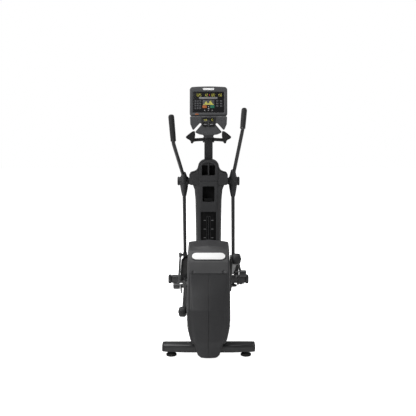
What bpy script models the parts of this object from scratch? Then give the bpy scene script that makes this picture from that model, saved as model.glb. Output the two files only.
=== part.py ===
"""Elliptical trainer: rear drive in a shroud, inclined ramp with rollers, moving handlebars and a console.

Metres, +Z up. The user stands facing +Y. The origin is on the floor under the middle of the machine's box.
"""
import math

import bmesh
import bpy
from mathutils import Matrix, Vector

# Driving dimensions: overall
GAP = 0.0003
WALL = 0.003

# Drive
CRANK_Y, CRANK_Z = -0.515, 0.352
CRANK_THROW = 0.26
CRANK_REST = math.radians(32)
PULLEY_RADIUS = 0.095
FLYWHEEL_Y, FLYWHEEL_Z = -0.755, 0.285
FLYWHEEL_RADIUS = 0.115
FLYWHEEL_PULLEY_RADIUS = 0.022
BELT_X = 0.070
BELT_WIDTH = 0.014

# Pedal arms, which run from a crank pin to a roller on the ramp
ARM_LENGTH = 0.795
ARM_SLOPE = {"left": math.radians(15.6), "right": math.radians(-23.0)}
ROLLER_RADIUS = 0.035
ROLLER_X0, ROLLER_X1 = 0.1185, 0.1445
BEAM_HALF_HEIGHT = 0.020
LINK_PIN_FORWARD = 0.405
LINK_PIN_DROP = 0.026

# Pedals, in the arm's frame: Y forward of the roller axle, Z above the beam's centre line
PEDAL_X0, PEDAL_X1 = 0.104, 0.216
PEDAL_Y0, PEDAL_Y1 = -0.335, -0.042
PEDAL_TREAD, PEDAL_RIM = 0.045, 0.069

# Ramp
RAMP_SLOPE = math.radians(15.1)
RAMP_PIVOT_Y, RAMP_PIVOT_Z = -0.060, 0.150
RAMP_FRONT_Y = 0.575

# Moving handlebars
PIVOT_Y, PIVOT_Z = 0.275, 0.998
HANDLE_X = 0.192
HANDLE_SWING = math.radians(12.5)
HANDLE_LOWER = 0.635
TUBE_RADIUS = 0.01375
UPPER_LEAN, UPPER_LENGTH = math.radians(32), 0.424
GRIP_LEAN, GRIP_LENGTH = math.radians(31.8), 0.226
GRIP_X0, GRIP_X1 = 0.2575, 0.2787

# Shroud, column and console
SHROUD_HALF_WIDTH = 0.137
SHROUD_SEAM_X = 0.118
COLUMN_HALF_WIDTH = 0.100
COLUMN_Y0, COLUMN_Y1 = 0.175, 0.365
COLUMN_FLARE = [(0.500, -0.0015), (0.860, 0.002), (0.938, 0.009), (0.9730, 0.0215)]
CONSOLE_Y, CONSOLE_Z = 0.228, 1.5045
CONSOLE_LEAN = math.radians(12.7)
CONSOLE_HALF_WIDTH, CONSOLE_HEIGHT = 0.145, 0.227

SIDES = {"left": -1, "right": 1}

for old in list(bpy.data.objects):
    bpy.data.objects.remove(old)

part_set = bpy.data.collections.new("elliptical_trainer")
cutter_set = bpy.data.collections.new("cutters")
for collection in (part_set, cutter_set):
    bpy.context.scene.collection.children.link(collection)


def finish(name, mesh, colour, roughness=0.5, metallic=0.0, home=None):
    """Puts a mesh in the scene as a part with its own material, under a joint's empty when it has one."""
    part = bpy.data.objects.new(name, mesh)
    part_set.objects.link(part)
    material = bpy.data.materials.new(name)
    material.use_nodes = True
    shader = material.node_tree.nodes["Principled BSDF"]
    shader.inputs["Base Color"].default_value = (*colour, 1)
    shader.inputs["Roughness"].default_value = roughness
    shader.inputs["Metallic"].default_value = metallic
    mesh.materials.clear()
    mesh.materials.append(material)
    mesh.shade_smooth()
    mesh.set_sharp_from_angle(angle=math.radians(35))
    if home:
        part.parent = home
    return part


BLACK = {"colour": (0.02, 0.02, 0.022), "roughness": 0.5}
CHARCOAL = {"colour": (0.045, 0.045, 0.05), "roughness": 0.45}
GREY = {"colour": (0.16, 0.16, 0.17), "roughness": 0.45}
RUBBER = {"colour": (0.012, 0.012, 0.012), "roughness": 0.85}
STEEL = {"colour": (0.55, 0.55, 0.56), "roughness": 0.3, "metallic": 1.0}
PAINT = {"colour": (0.03, 0.03, 0.033), "roughness": 0.35}
WHITE = {"colour": (0.8, 0.8, 0.8), "roughness": 0.4}


def axis_empty(name, place, turn=0.0, parent=None):
    """An empty on a joint's axis, turned about X, that the moving pieces hang from."""
    empty = bpy.data.objects.new(name, None)
    part_set.objects.link(empty)
    empty.parent = parent
    empty.location = place
    empty.rotation_euler.x = turn
    return empty


def mesh_from(bm, name="piece"):
    bmesh.ops.recalc_face_normals(bm, faces=bm.faces)
    mesh = bpy.data.meshes.new(name)
    bm.to_mesh(mesh)
    bm.free()
    return mesh


def bevelled(bm, width, segments, edges=None):
    """Rounds the given edges of a bmesh, or all of them."""
    if width > 0:
        bmesh.ops.bevel(bm, geom=edges or bm.edges[:], offset=width, offset_type="OFFSET", segments=segments,
                        profile=0.5, affect="EDGES", material=-1, clamp_overlap=True)


def block(low, high, round_by=0.0, segments=1):
    """A box between two corners."""
    bm = bmesh.new()
    bmesh.ops.create_cube(bm, size=1)
    size = Vector(high) - Vector(low)
    bmesh.ops.scale(bm, vec=size, verts=bm.verts)
    bmesh.ops.translate(bm, vec=(Vector(low) + Vector(high)) / 2, verts=bm.verts)
    bevelled(bm, round_by, segments)
    return mesh_from(bm)


def rod(x0, x1, y, z, radius, sides=20, end_radius=None, round_by=0.0):
    """A round bar along X between x0 and x1."""
    bm = bmesh.new()
    bmesh.ops.create_cone(bm, cap_ends=True, segments=sides, radius1=radius,
                          radius2=radius if end_radius is None else end_radius, depth=abs(x1 - x0))
    bmesh.ops.rotate(bm, cent=(0, 0, 0), matrix=Matrix.Rotation(math.pi / 2, 3, "Y"), verts=bm.verts)
    if x1 < x0:
        bmesh.ops.rotate(bm, cent=(0, 0, 0), matrix=Matrix.Rotation(math.pi, 3, "Z"), verts=bm.verts)
    bmesh.ops.translate(bm, vec=((x0 + x1) / 2, y, z), verts=bm.verts)
    rims = [e for e in bm.edges if len(e.link_faces) == 2 and any(len(f.verts) > 4 for f in e.link_faces)]
    if round_by:
        bevelled(bm, round_by, 1, rims)
    return mesh_from(bm)


def ring(x0, x1, y, z, radius, bore, sides=24):
    """A round bar along X with a bore, from a turned square profile."""
    bm = bmesh.new()
    corners = [bm.verts.new((x, 0, r)) for x, r in ((x0, bore), (x1, bore), (x1, radius), (x0, radius))]
    edges = [bm.edges.new((corners[i], corners[(i + 1) % 4])) for i in range(4)]
    bmesh.ops.spin(bm, geom=corners + edges, cent=(0, 0, 0), axis=(1, 0, 0), dvec=(0, 0, 0),
                   angle=2 * math.pi, steps=sides, use_merge=True)
    bmesh.ops.remove_doubles(bm, verts=bm.verts, dist=1e-5)
    bmesh.ops.translate(bm, vec=(0, y, z), verts=bm.verts)
    return mesh_from(bm)


def extruded(outline, low, high, along, round_by=0.0, segments=1):
    """A flat outline given thickness along X ("X": outline of (y, z)), Y ((x, z)) or Z ((x, y))."""
    places = {"X": lambda u, v, w: (w, u, v), "Y": lambda u, v, w: (u, w, v), "Z": lambda u, v, w: (u, v, w)}
    place = places[along]
    bm = bmesh.new()
    face = bm.faces.new([bm.verts.new(place(u, v, low)) for u, v in outline])
    top = bmesh.ops.extrude_face_region(bm, geom=[face])
    shift = Vector(place(0, 0, high)) - Vector(place(0, 0, low))
    moved = [g for g in top["geom"] if isinstance(g, bmesh.types.BMVert)]
    bmesh.ops.translate(bm, vec=shift, verts=moved)
    bmesh.ops.recalc_face_normals(bm, faces=bm.faces)
    bevelled(bm, round_by, segments)
    return mesh_from(bm)


def mirrored(points):
    """An outline's right half, top to bottom, with the same points at -X."""
    return points + [(-x, z) for x, z in reversed(points) if abs(x) > 1e-6]


def arc(cy, cz, radius, start, end, steps):
    """Points of an arc from start to end degrees, both included."""
    turn = [math.radians(start + (end - start) * i / steps) for i in range(steps + 1)]
    return [(cy + radius * math.cos(t), cz + radius * math.sin(t)) for t in turn]


def pipe(points, radius, resolution=2, radii=None):
    """A round tube along points, as a mesh with welded caps."""
    curve = bpy.data.curves.new("route", "CURVE")
    curve.dimensions = "3D"
    curve.bevel_depth = radius
    curve.bevel_resolution = resolution
    curve.use_fill_caps = True
    spline = curve.splines.new("POLY")
    spline.points.add(len(points) - 1)
    for i, point in enumerate(points):
        spline.points[i].co = (*point, 1)
        spline.points[i].radius = radii[i] if radii else 1
    guide = bpy.data.objects.new("route", curve)
    part_set.objects.link(guide)
    seen = guide.evaluated_get(bpy.context.evaluated_depsgraph_get())
    mesh = bpy.data.meshes.new_from_object(seen)
    bpy.data.objects.remove(guide)
    bm = bmesh.new()
    bm.from_mesh(mesh)
    bmesh.ops.remove_doubles(bm, verts=bm.verts, dist=1e-5)
    return mesh_from(bm)


def smooth_route(points, steps):
    """A route rounded through its points, as a Catmull-Rom curve."""
    ends = [Vector(p) for p in (points[0], *points, points[-1])]
    route = []
    for a, b, c, d in zip(ends, ends[1:], ends[2:], ends[3:]):
        for i in range(steps):
            t = i / steps
            route.append(0.5 * (2 * b + (c - a) * t + (2 * a - 5 * b + 4 * c - d) * t * t
                                + (3 * b - 3 * c + d - a) * t ** 3))
    return route + [ends[-1]]


def strip(profile, half_widths):
    """An open sheet across X that follows a side profile of (y, z) points, with its half width at each."""
    bm = bmesh.new()
    rows = [[bm.verts.new((x, y, z)) for x in (half, -half)] for (y, z), half in zip(profile, half_widths)]
    for low, high in zip(rows, rows[1:]):
        bm.faces.new((low[0], low[1], high[1], high[0]))
    mesh = bpy.data.meshes.new("strip")
    bm.to_mesh(mesh)
    bm.free()
    return mesh


def thicken(part, thickness, offset=-1):
    """Gives a sheet its wall with a live Solidify."""
    wall = part.modifiers.new("wall", "SOLIDIFY")
    wall.thickness = thickness
    wall.offset = offset
    wall.use_even_offset = True
    return part


def boolean(part, mesh, operation):
    """Cuts a tool mesh from a part, or joins it on."""
    tool = bpy.data.objects.new(part.name + "_tool", mesh)
    cutter_set.objects.link(tool)
    tool.parent = part.parent
    tool.hide_render = True
    tool.display_type = "WIRE"
    step = part.modifiers.new(operation.lower(), "BOOLEAN")
    step.operation = operation
    step.object = tool
    return part


def cut(part, *tools):
    for mesh in tools:
        boolean(part, mesh, "DIFFERENCE")
    return part


def join(part, *tools):
    for mesh in tools:
        boolean(part, mesh, "UNION")
    return part


# ---------------------------------------------------------------- frame and feet
def build_frame():
    """The welded frame, its stabilizers, feet and transport wheels."""
    spine = block((-0.035, -0.840, 0.042), (0.035, 0.834, 0.100), 0.006)
    post = block((-0.034, 0.240, 0.080), (0.034, 0.308, PIVOT_Z - 0.0129))
    frame = finish("main_frame", spine, **PAINT)
    join(frame, post)
    for side in (-1, 1):
        join(frame, block((side * 0.049 - 0.004, -0.780, 0.085), (side * 0.049 + 0.004, -0.480, 0.386)))
        join(frame, block((side * 0.040 - 0.012, -0.780, 0.050), (side * 0.040 + 0.012, -0.480, 0.0995)))
        join(frame, block((side * 0.037 - 0.003, RAMP_PIVOT_Y - 0.025, 0.060),
                          (side * 0.037 + 0.003, RAMP_PIVOT_Y + 0.025, RAMP_PIVOT_Z + 0.022)))
    cut(frame, rod(-0.06, 0.06, CRANK_Y, CRANK_Z, 0.0213, 24),
        rod(-0.06, 0.06, FLYWHEEL_Y, FLYWHEEL_Z, 0.0093, 16),
        rod(-0.05, 0.05, RAMP_PIVOT_Y, RAMP_PIVOT_Z, 0.0155, 20))

    rear = [(-0.292, -0.838), (0.292, -0.838), (0.292, -0.920), (0.15, -0.932)]
    rear += [(-x, y) for x, y in rear[:1:-1]]
    stabilizer = finish("rear_stabilizer", extruded(rear, 0.027, 0.079, "Z", 0.014, 2), **PAINT)
    cut(stabilizer, block((-0.0353, -0.86, 0.0417), (0.0353, -0.83, 0.1003)))
    front = block((-0.330, 0.835, 0.030), (0.330, 0.893, 0.098), 0.012, 2)
    front = finish("front_stabilizer", front, **PAINT)
    for side in (-1, 1):
        for x in (0.274, 0.312):
            join(front, block((side * x - 0.003, 0.870, 0.015), (side * x + 0.003, 0.945, 0.060)))
        join(front, rod(side * 0.272, side * 0.314, 0.925, 0.0305, 0.005, 10))
        low, high = sorted((side * 0.3275, side * 0.3575))
        join(front, block((low, 0.832, 0.027), (high, 0.896, 0.101), 0.010, 2))
        join(front, turned(foot_profile(0.0400), (side * 0.220, 0.862, 0)))
    for name, side in SIDES.items():
        foot = turned(foot_profile(0.0267), (side * 0.2365, -0.890, 0))
        finish(name + "_rear_foot", foot, **RUBBER)
        home = axis_empty(name + "_wheel_axis", (0, 0.925, 0.0305))
        wheel = ring(side * 0.278, side * 0.308, 0, 0, 0.030, 0.0054, 24)
        finish(name + "_transport_wheel", wheel, home=home, **RUBBER)


def foot_profile(top):
    """A levelling foot's pad and stem, as (radius, z) points from the floor up to the stem's top."""
    return [(0.0, 0.0), (0.033, 0.0), (0.0335, 0.012), (0.012, 0.020), (0.012, top), (0.0, top)]


def turned(profile, place, steps=20):
    """A turned solid about the upright axis from a closed (radius, z) profile."""
    bm = bmesh.new()
    verts = [bm.verts.new((r, 0, z)) for r, z in profile]
    edges = [bm.edges.new((a, b)) for a, b in zip(verts, verts[1:])]
    bmesh.ops.spin(bm, geom=verts + edges, cent=(0, 0, 0), axis=(0, 0, 1), dvec=(0, 0, 0),
                   angle=2 * math.pi, steps=steps, use_merge=True)
    bmesh.ops.remove_doubles(bm, verts=bm.verts, dist=1e-5)
    bmesh.ops.translate(bm, vec=place, verts=bm.verts)
    return mesh_from(bm)


# ---------------------------------------------------------------- rear shroud
SEAM = (-0.803, 0.508)
REAR_FACE = [(-0.952, 0.010), (-0.9512, 0.022), (-0.9471, 0.092), (-0.946, 0.110), (-0.906, 0.300), SEAM]
KEEL_HALF_WIDTHS = [0.060, 0.072, 0.106, SHROUD_SEAM_X, SHROUD_SEAM_X, SHROUD_SEAM_X]
BADGE_HALF_LENGTH, BADGE_HALF_HEIGHT = 0.109, 0.0305
TOP_FACE = [SEAM, (-0.735, 0.572), (-0.655, 0.625), (-0.610, 0.641), (-0.520, 0.653), (-0.455, 0.653)]
FRONT_FACE = arc(-0.455, 0.608, 0.045, 90, 0, 4)[1:] + [(-0.405, 0.420), (-0.405, 0.170)]


def pan(x_out, side, outline):
    """A side cover: a flat face with a rounded rim that turns inwards, open on the inner side."""
    bm = bmesh.new()
    outer = [bm.verts.new((side * x_out, y, z)) for y, z in outline]
    face = bm.faces.new(outer if side < 0 else list(reversed(outer)))
    rim = bmesh.ops.extrude_face_region(bm, geom=[face])
    inner = [g for g in rim["geom"] if isinstance(g, bmesh.types.BMVert)]
    bmesh.ops.translate(bm, vec=(side * (SHROUD_SEAM_X + 0.0005 - x_out), 0, 0), verts=inner)
    cap = [g for g in rim["geom"] if isinstance(g, bmesh.types.BMFace)]
    bmesh.ops.delete(bm, geom=cap, context="FACES_ONLY")
    bmesh.ops.recalc_face_normals(bm, faces=bm.faces)
    flat = [f for f in bm.faces if len(f.verts) > 4][0]
    if flat.normal.x * side < 0:
        bmesh.ops.reverse_faces(bm, faces=bm.faces)
    bevelled(bm, 0.012, 2, list(flat.edges))
    mesh = bpy.data.meshes.new("pan")
    bm.to_mesh(mesh)
    bm.free()
    return mesh


def build_shroud():
    """The shroud's four covers and its blank badge."""
    # The side covers end over the stabilizer; the rear cover's keel goes on down between its ends
    outline = REAR_FACE[2:] + TOP_FACE[1:] + FRONT_FACE + [(-0.425, 0.135), (-0.820, 0.105), (-0.826, 0.092)]
    for name, side in SIDES.items():
        cover = finish(name + "_side_cover", pan(SHROUD_HALF_WIDTH, side, outline), **CHARCOAL)
        thicken(cover, WALL)
        cut(cover, rod(side * 0.12, side * 0.15, CRANK_Y, CRANK_Z, 0.020, 20))
    lower = finish("lower_rear_cover", strip(REAR_FACE, KEEL_HALF_WIDTHS), **CHARCOAL)
    thicken(lower, WALL, 1)
    upper_profile = [(SEAM[0] + 0.0024, SEAM[1] + 0.0023)] + TOP_FACE[1:] + FRONT_FACE
    upper = strip(upper_profile, [SHROUD_SEAM_X] * len(upper_profile))
    upper = finish("upper_rear_cover", upper, **CHARCOAL)
    thicken(upper, WALL, 1)
    # The badge lies on the upper cover's second slope
    (y0, z0), (y1, z1) = TOP_FACE[1:3]
    slope = math.atan2(z1 - z0, y1 - y0)
    x, r = BADGE_HALF_LENGTH - BADGE_HALF_HEIGHT, BADGE_HALF_HEIGHT
    badge = extruded(arc(x, 0, r, 90, -90, 6) + arc(-x, 0, r, 270, 90, 6), GAP, 0.0023, "Z")
    middle = Matrix.Translation((0, (y0 + y1) / 2, (z0 + z1) / 2))
    badge.transform(middle @ Matrix.Rotation(slope, 4, "X"))
    finish("cover_badge", badge, **WHITE)


# ---------------------------------------------------------------- drive
def pin_offset(side_name):
    """A crank pin's place from the crank's axis at rest."""
    sign = 1 if side_name == "left" else -1
    return (sign * CRANK_THROW * math.sin(CRANK_REST), -sign * CRANK_THROW * math.cos(CRANK_REST))


def crank_outline(dy, dz, hub, boss):
    """A tapered arm with round ends from the hub at (0, 0) to the boss at (dy, dz)."""
    aim = math.degrees(math.atan2(dz, dy))
    return arc(0, 0, hub, aim + 90, aim + 270, 7) + arc(dy, dz, boss, aim - 90, aim + 90, 7)


def build_drive():
    """Crankset, bearing, flywheel, belt and brake."""
    crank = axis_empty("crank_axis", (0, CRANK_Y, CRANK_Z))
    finish("crank_shaft", rod(-0.1400, 0.1400, 0, 0, 0.0124, 20), home=crank, **STEEL)
    pulley = ring(BELT_X - 0.008, BELT_X + 0.008, 0, 0, PULLEY_RADIUS - 0.0035, 0.0127, 40)
    finish("drive_pulley", pulley, home=crank, **BLACK)
    for name, side in SIDES.items():
        dy, dz = pin_offset(name)
        arm = extruded(crank_outline(dy, dz, 0.034, 0.027), side * 0.1405, side * 0.1560, "X")
        finish(name + "_crank_arm", arm, home=crank, **PAINT)
    finish("crank_bearing", ring(-0.057, 0.057, CRANK_Y, CRANK_Z, 0.0210, 0.0127, 20), **STEEL)
    wheel = axis_empty("flywheel_axis", (0, FLYWHEEL_Y, FLYWHEEL_Z))
    flywheel = finish("flywheel", rod(-0.022, 0.022, 0, 0, FLYWHEEL_RADIUS, 40), home=wheel, **STEEL)
    join(flywheel, rod(-0.062, BELT_X + 0.009, 0, 0, 0.009, 16))
    join(flywheel, rod(BELT_X - 0.008, BELT_X + 0.008, 0, 0, FLYWHEEL_PULLEY_RADIUS - 0.0040, 24))
    # The belt's two arcs and straight runs, as a band with an open middle
    span_y, span_z = FLYWHEEL_Y - CRANK_Y, FLYWHEEL_Z - CRANK_Z
    span = math.hypot(span_y, span_z)
    aim = math.degrees(math.atan2(span_z, span_y))
    lap = math.degrees(math.acos((PULLEY_RADIUS - FLYWHEEL_PULLEY_RADIUS) / span))
    bands = []
    for offset in (0.0, -0.0027):
        bands.append(arc(CRANK_Y, CRANK_Z, PULLEY_RADIUS + offset, aim + lap, aim + 360 - lap, 22)
                     + arc(FLYWHEEL_Y, FLYWHEEL_Z, FLYWHEEL_PULLEY_RADIUS + offset, aim - lap, aim + lap, 8))
    x0, x1 = BELT_X - BELT_WIDTH / 2, BELT_X + BELT_WIDTH / 2
    belt = finish("drive_belt", extruded(bands[0], x0, x1, "X"), **RUBBER)
    cut(belt, extruded(bands[1], x0 - 0.01, x1 + 0.01, "X"))
    brake = block((-0.034, -0.800, 0.402), (0.034, -0.710, 0.440))
    brake = finish("resistance_magnet", brake, **GREY)
    join(brake, block((0.0255, -0.795, 0.340), (0.034, -0.715, 0.420)),
         block((-0.034, -0.795, 0.340), (-0.0255, -0.715, 0.420)))


# ---------------------------------------------------------------- ramp
def build_ramp():
    """The inclining ramp and its lift motor."""
    home = axis_empty("ramp_axis", (0, RAMP_PIVOT_Y, RAMP_PIVOT_Z), RAMP_SLOPE)
    length = (RAMP_FRONT_Y - RAMP_PIVOT_Y) / math.cos(RAMP_SLOPE)
    ramp = finish("ramp", rod(-0.1460, 0.1460, 0, 0, 0.015, 20), home=home, **PAINT)
    for side in (-1, 1):
        x = side * (ROLLER_X0 + ROLLER_X1) / 2
        join(ramp, block((x - 0.0145, -0.020, RAMP_TRACK - 0.026), (x + 0.0145, length, RAMP_TRACK)))
    crossbar_top = RAMP_TRACK - 0.004
    join(ramp, block((-0.120, length - 0.034, crossbar_top - 0.020), (0.120, length - 0.006, crossbar_top)))
    motor = finish("lift_motor", block((-0.040, 0.440, 0.1003), (0.040, 0.540, 0.150), 0.006), **GREY)
    join(motor, block((-0.012, 0.470, 0.140), (0.012, 0.500, 0.190)))
    screw = rod(0, 0.055, 0, 0, 0.008, 12)
    screw.transform(Matrix.Translation((0, 0.485, 0.180)) @ Matrix.Rotation(-math.pi / 2, 4, "Y"))
    join(motor, screw)


def axle_height(y):
    """The roller axles' height over the ramp at rest, on the line through both rest places."""
    left = axle_place("left")
    return left[1] + (y - left[0]) * math.tan(RAMP_SLOPE)


def crank_pin(side_name):
    """A crank pin's (y, z) at rest."""
    dy, dz = pin_offset(side_name)
    return CRANK_Y + dy, CRANK_Z + dz


def axle_place(side_name):
    """A roller axle's (y, z) at rest, an arm's length from its crank pin."""
    y, z = crank_pin(side_name)
    slope = ARM_SLOPE[side_name]
    return y + ARM_LENGTH * math.cos(slope), z + ARM_LENGTH * math.sin(slope)


# The track's top above the ramp's pivot, square to the ramp
RAMP_TRACK = (axle_height(RAMP_PIVOT_Y) - RAMP_PIVOT_Z) * math.cos(RAMP_SLOPE) - ROLLER_RADIUS - 0.0006


# ---------------------------------------------------------------- pedal arms
def build_arm(name, side):
    """One side's pedal arm, crank joint, pedal, pad, axle and roller."""
    y, z = axle_place(name)
    home = axis_empty(name + "_arm_axis", (0, y, z), ARM_SLOPE[name])
    beam_plan = [(0.158, -0.7572), (0.188, -0.7572), (0.188, -0.360), (0.170, -0.300),
                 (0.170, 0.014), (0.150, 0.014), (0.150, -0.300), (0.158, -0.360)]
    beam_plan = [(side * x, along) for x, along in beam_plan]
    beam = finish(name + "_pedal_arm", extruded(beam_plan, -BEAM_HALF_HEIGHT, BEAM_HALF_HEIGHT, "Z", 0.004),
                  home=home, **PAINT)
    pin_y, pin_z = LINK_PIN_FORWARD - ARM_LENGTH, -LINK_PIN_DROP
    join(beam, rod(side * 0.180, side * 0.2160, pin_y, pin_z, 0.014, 16))
    tab_aim = Vector((0.39, -0.92)) * 0.075
    tab = crank_outline(tab_aim.x, tab_aim.y, 0.019, 0.010)
    tab = [(pin_y + u, pin_z + v) for u, v in tab]
    join(beam, extruded(tab, side * 0.2070, side * 0.2158, "X"))
    housing = rod(side * 0.158, side * 0.210, -ARM_LENGTH, 0, 0.0370, 24, round_by=0.004)
    housing = finish(name + "_crank_joint", housing, home=home, **BLACK)
    join(housing, rod(side * 0.1565, side * 0.165, -ARM_LENGTH, 0, 0.012, 16))

    plan = [(PEDAL_X0, PEDAL_Y0), (PEDAL_X1, PEDAL_Y0), (PEDAL_X1, -0.130), (0.196, -0.075),
            (0.166, PEDAL_Y1), (0.124, PEDAL_Y1), (PEDAL_X0, -0.065)]
    plan = [(side * x, along) for x, along in plan]
    pedal = finish(name + "_pedal", extruded(plan, -0.012, PEDAL_RIM, "Z", 0.003), home=home, **BLACK)
    inner, outer = PEDAL_X0 + 0.006, PEDAL_X1 - 0.006
    well = [(inner, PEDAL_Y0 - 0.05), (outer, PEDAL_Y0 - 0.05), (outer, -0.132), (0.192, -0.083),
            (0.163, PEDAL_Y1 - 0.008), (0.127, PEDAL_Y1 - 0.008), (inner, -0.072)]
    well = [(side * x, along) for x, along in well]
    cut(pedal, extruded(well, PEDAL_TREAD, PEDAL_RIM + 0.02, "Z"))
    low, high = sorted((side * 0.113, side * 0.2040))
    cut(pedal, block((low, PEDAL_Y0 + 0.012, -0.05), (high, PEDAL_Y1 + 0.05, BEAM_HALF_HEIGHT + 2 * GAP)))
    low, high = sorted((side * 0.1470, side * 0.1915))
    cut(pedal, block((low, PEDAL_Y0 - 0.05, -0.05), (high, PEDAL_Y1 + 0.05, BEAM_HALF_HEIGHT + GAP)))
    inner, outer = PEDAL_X0 + 0.010, PEDAL_X1 - 0.010
    pad = [(inner, PEDAL_Y0 + 0.004), (outer, PEDAL_Y0 + 0.004), (outer, -0.135), (0.188, -0.088),
           (0.160, PEDAL_Y1 - 0.012), (0.130, PEDAL_Y1 - 0.012), (inner, -0.078)]
    pad = [(side * x, along) for x, along in pad]
    pad = extruded(pad, PEDAL_TREAD + GAP, PEDAL_TREAD + 0.005, "Z", 0.001)
    finish(name + "_pedal_pad", pad, home=home, **RUBBER)

    axle = rod(side * 0.110, side * 0.1497, 0, 0, 0.0080, 16)
    axle = finish(name + "_roller_axle", axle, home=home, **STEEL)
    join(axle, rod(side * 0.110, side * 0.1165, 0, 0, 0.013, 16))
    roller = ring(side * ROLLER_X0, side * ROLLER_X1, 0, 0, ROLLER_RADIUS, 0.0085, 28)
    finish(name + "_roller", roller, home=home, **RUBBER)


# ---------------------------------------------------------------- moving handlebars
def lean(angle, length):
    """A run that leans towards the user (-Y) by the angle from upright."""
    return Vector((0, -length * math.sin(angle), length * math.cos(angle)))


def lower_joint(name):
    """The (y, z) of a handle's lower joint at rest."""
    swing = HANDLE_SWING * (1 if name == "left" else -1)
    return PIVOT_Y + HANDLE_LOWER * math.sin(swing), PIVOT_Z - HANDLE_LOWER * math.cos(swing)


def link_pin(name):
    """The opened joint between a pedal arm and its link, at rest."""
    y, z = crank_pin(name)
    slope = ARM_SLOPE[name]
    return (y + LINK_PIN_FORWARD * math.cos(slope) + LINK_PIN_DROP * math.sin(slope),
            z + LINK_PIN_FORWARD * math.sin(slope) - LINK_PIN_DROP * math.cos(slope))


def build_handle(name, side):
    """One side's moving handle, its grip and its link."""
    swing = HANDLE_SWING * (1 if name == "left" else -1)
    home = axis_empty(name + "_handle_axis", (0, PIVOT_Y, PIVOT_Z), swing)
    x = side * HANDLE_X
    lower = pipe([(x, 0, -HANDLE_LOWER), (x, 0, -0.02)], TUBE_RADIUS)
    lower = finish(name + "_handle_lower", lower, home=home, **PAINT)
    join(lower, rod(side * 0.1745, side * 0.2085, 0, -HANDLE_LOWER, 0.0195, 20),
         rod(side * 0.200, side * 0.2187, 0, -HANDLE_LOWER, 0.010, 14),
         rod(side * 0.1490, side * 0.2300, 0, 0, 0.0345, 24, round_by=0.006),
         pipe([(x, 0, -0.125), (x, 0, -0.02)], 0.0235, 2, [0.75, 1.15]))
    cut(lower, rod(side * 0.14, side * 0.24, 0, 0, 0.0128, 20))
    bend = lean(UPPER_LEAN, UPPER_LENGTH)
    start = lean(UPPER_LEAN, 0.0395)
    turn = bend + Vector((side * GRIP_X0, 0, 0))
    forward = lean(-GRIP_LEAN, GRIP_LENGTH)
    tip = turn + forward + Vector((side * (GRIP_X1 - GRIP_X0), 0, 0))
    slope = (turn - Vector((x, start.y, start.z)))
    first = Vector((x, start.y, start.z))
    route = [first, first + slope * 0.5, first + slope * 0.9, turn + (tip - turn) * 0.02]
    upper = finish(name + "_handle_upper", pipe(smooth_route(route, 3), TUBE_RADIUS), home=home, **PAINT)
    join(upper, pipe([first, first + slope * 0.10, first + slope * 0.15], 0.0225, 2, [1.0, 0.82, 0.70]))
    grip_start = turn + (tip - turn) * 0.10
    route = [grip_start.lerp(tip, t) for t in (0, 0.03, 0.5, 0.93, 1.0)]
    finish(name + "_grip", pipe(route, 0.0222, 3, [0.82, 0.92, 0.97, 1.0, 0.7]), home=home, **RUBBER)

    y, z = lower_joint(name)
    pin_y, pin_z = link_pin(name)
    slope = math.atan2(z - pin_z, y - pin_y)
    reach = math.hypot(z - pin_z, y - pin_y)
    hinge = axis_empty(name + "_link_axis", (0, y, z), slope)
    low, high = sorted((side * 0.2225, side * 0.2375))
    link = finish(name + "_link", block((low, -reach, -0.011), (high, 0, 0.011)), home=hinge, **STEEL)
    join(link, rod(side * 0.2190, side * 0.2420, 0, 0, 0.0195, 20),
         rod(side * 0.2190, side * 0.2695, -reach, 0, 0.0225, 24, round_by=0.003))


# ---------------------------------------------------------------- column
def channel(y_back, y_front, inward):
    """A U-shaped cover wall, open towards the other half, with chamfered corners, flared at its top."""
    bm = bmesh.new()
    rows = []
    for z, flare in COLUMN_FLARE:
        w = COLUMN_HALF_WIDTH + flare
        half = [(w, y_front), (w, y_back + inward * 0.030), (w - 0.012, y_back + inward * 0.008),
                (w - 0.03, y_back)]
        plan = [(-x, y) for x, y in half] + half[::-1]
        rows.append([bm.verts.new((x, y, z)) for x, y in plan])
    for low, high in zip(rows, rows[1:]):
        for i in range(len(low) - 1):
            bm.faces.new((low[i], low[i + 1], high[i + 1], high[i]))
    if inward < 0:
        bmesh.ops.reverse_faces(bm, faces=bm.faces)
    mesh = bpy.data.meshes.new("channel")
    bm.to_mesh(mesh)
    bm.free()
    return mesh


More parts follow.
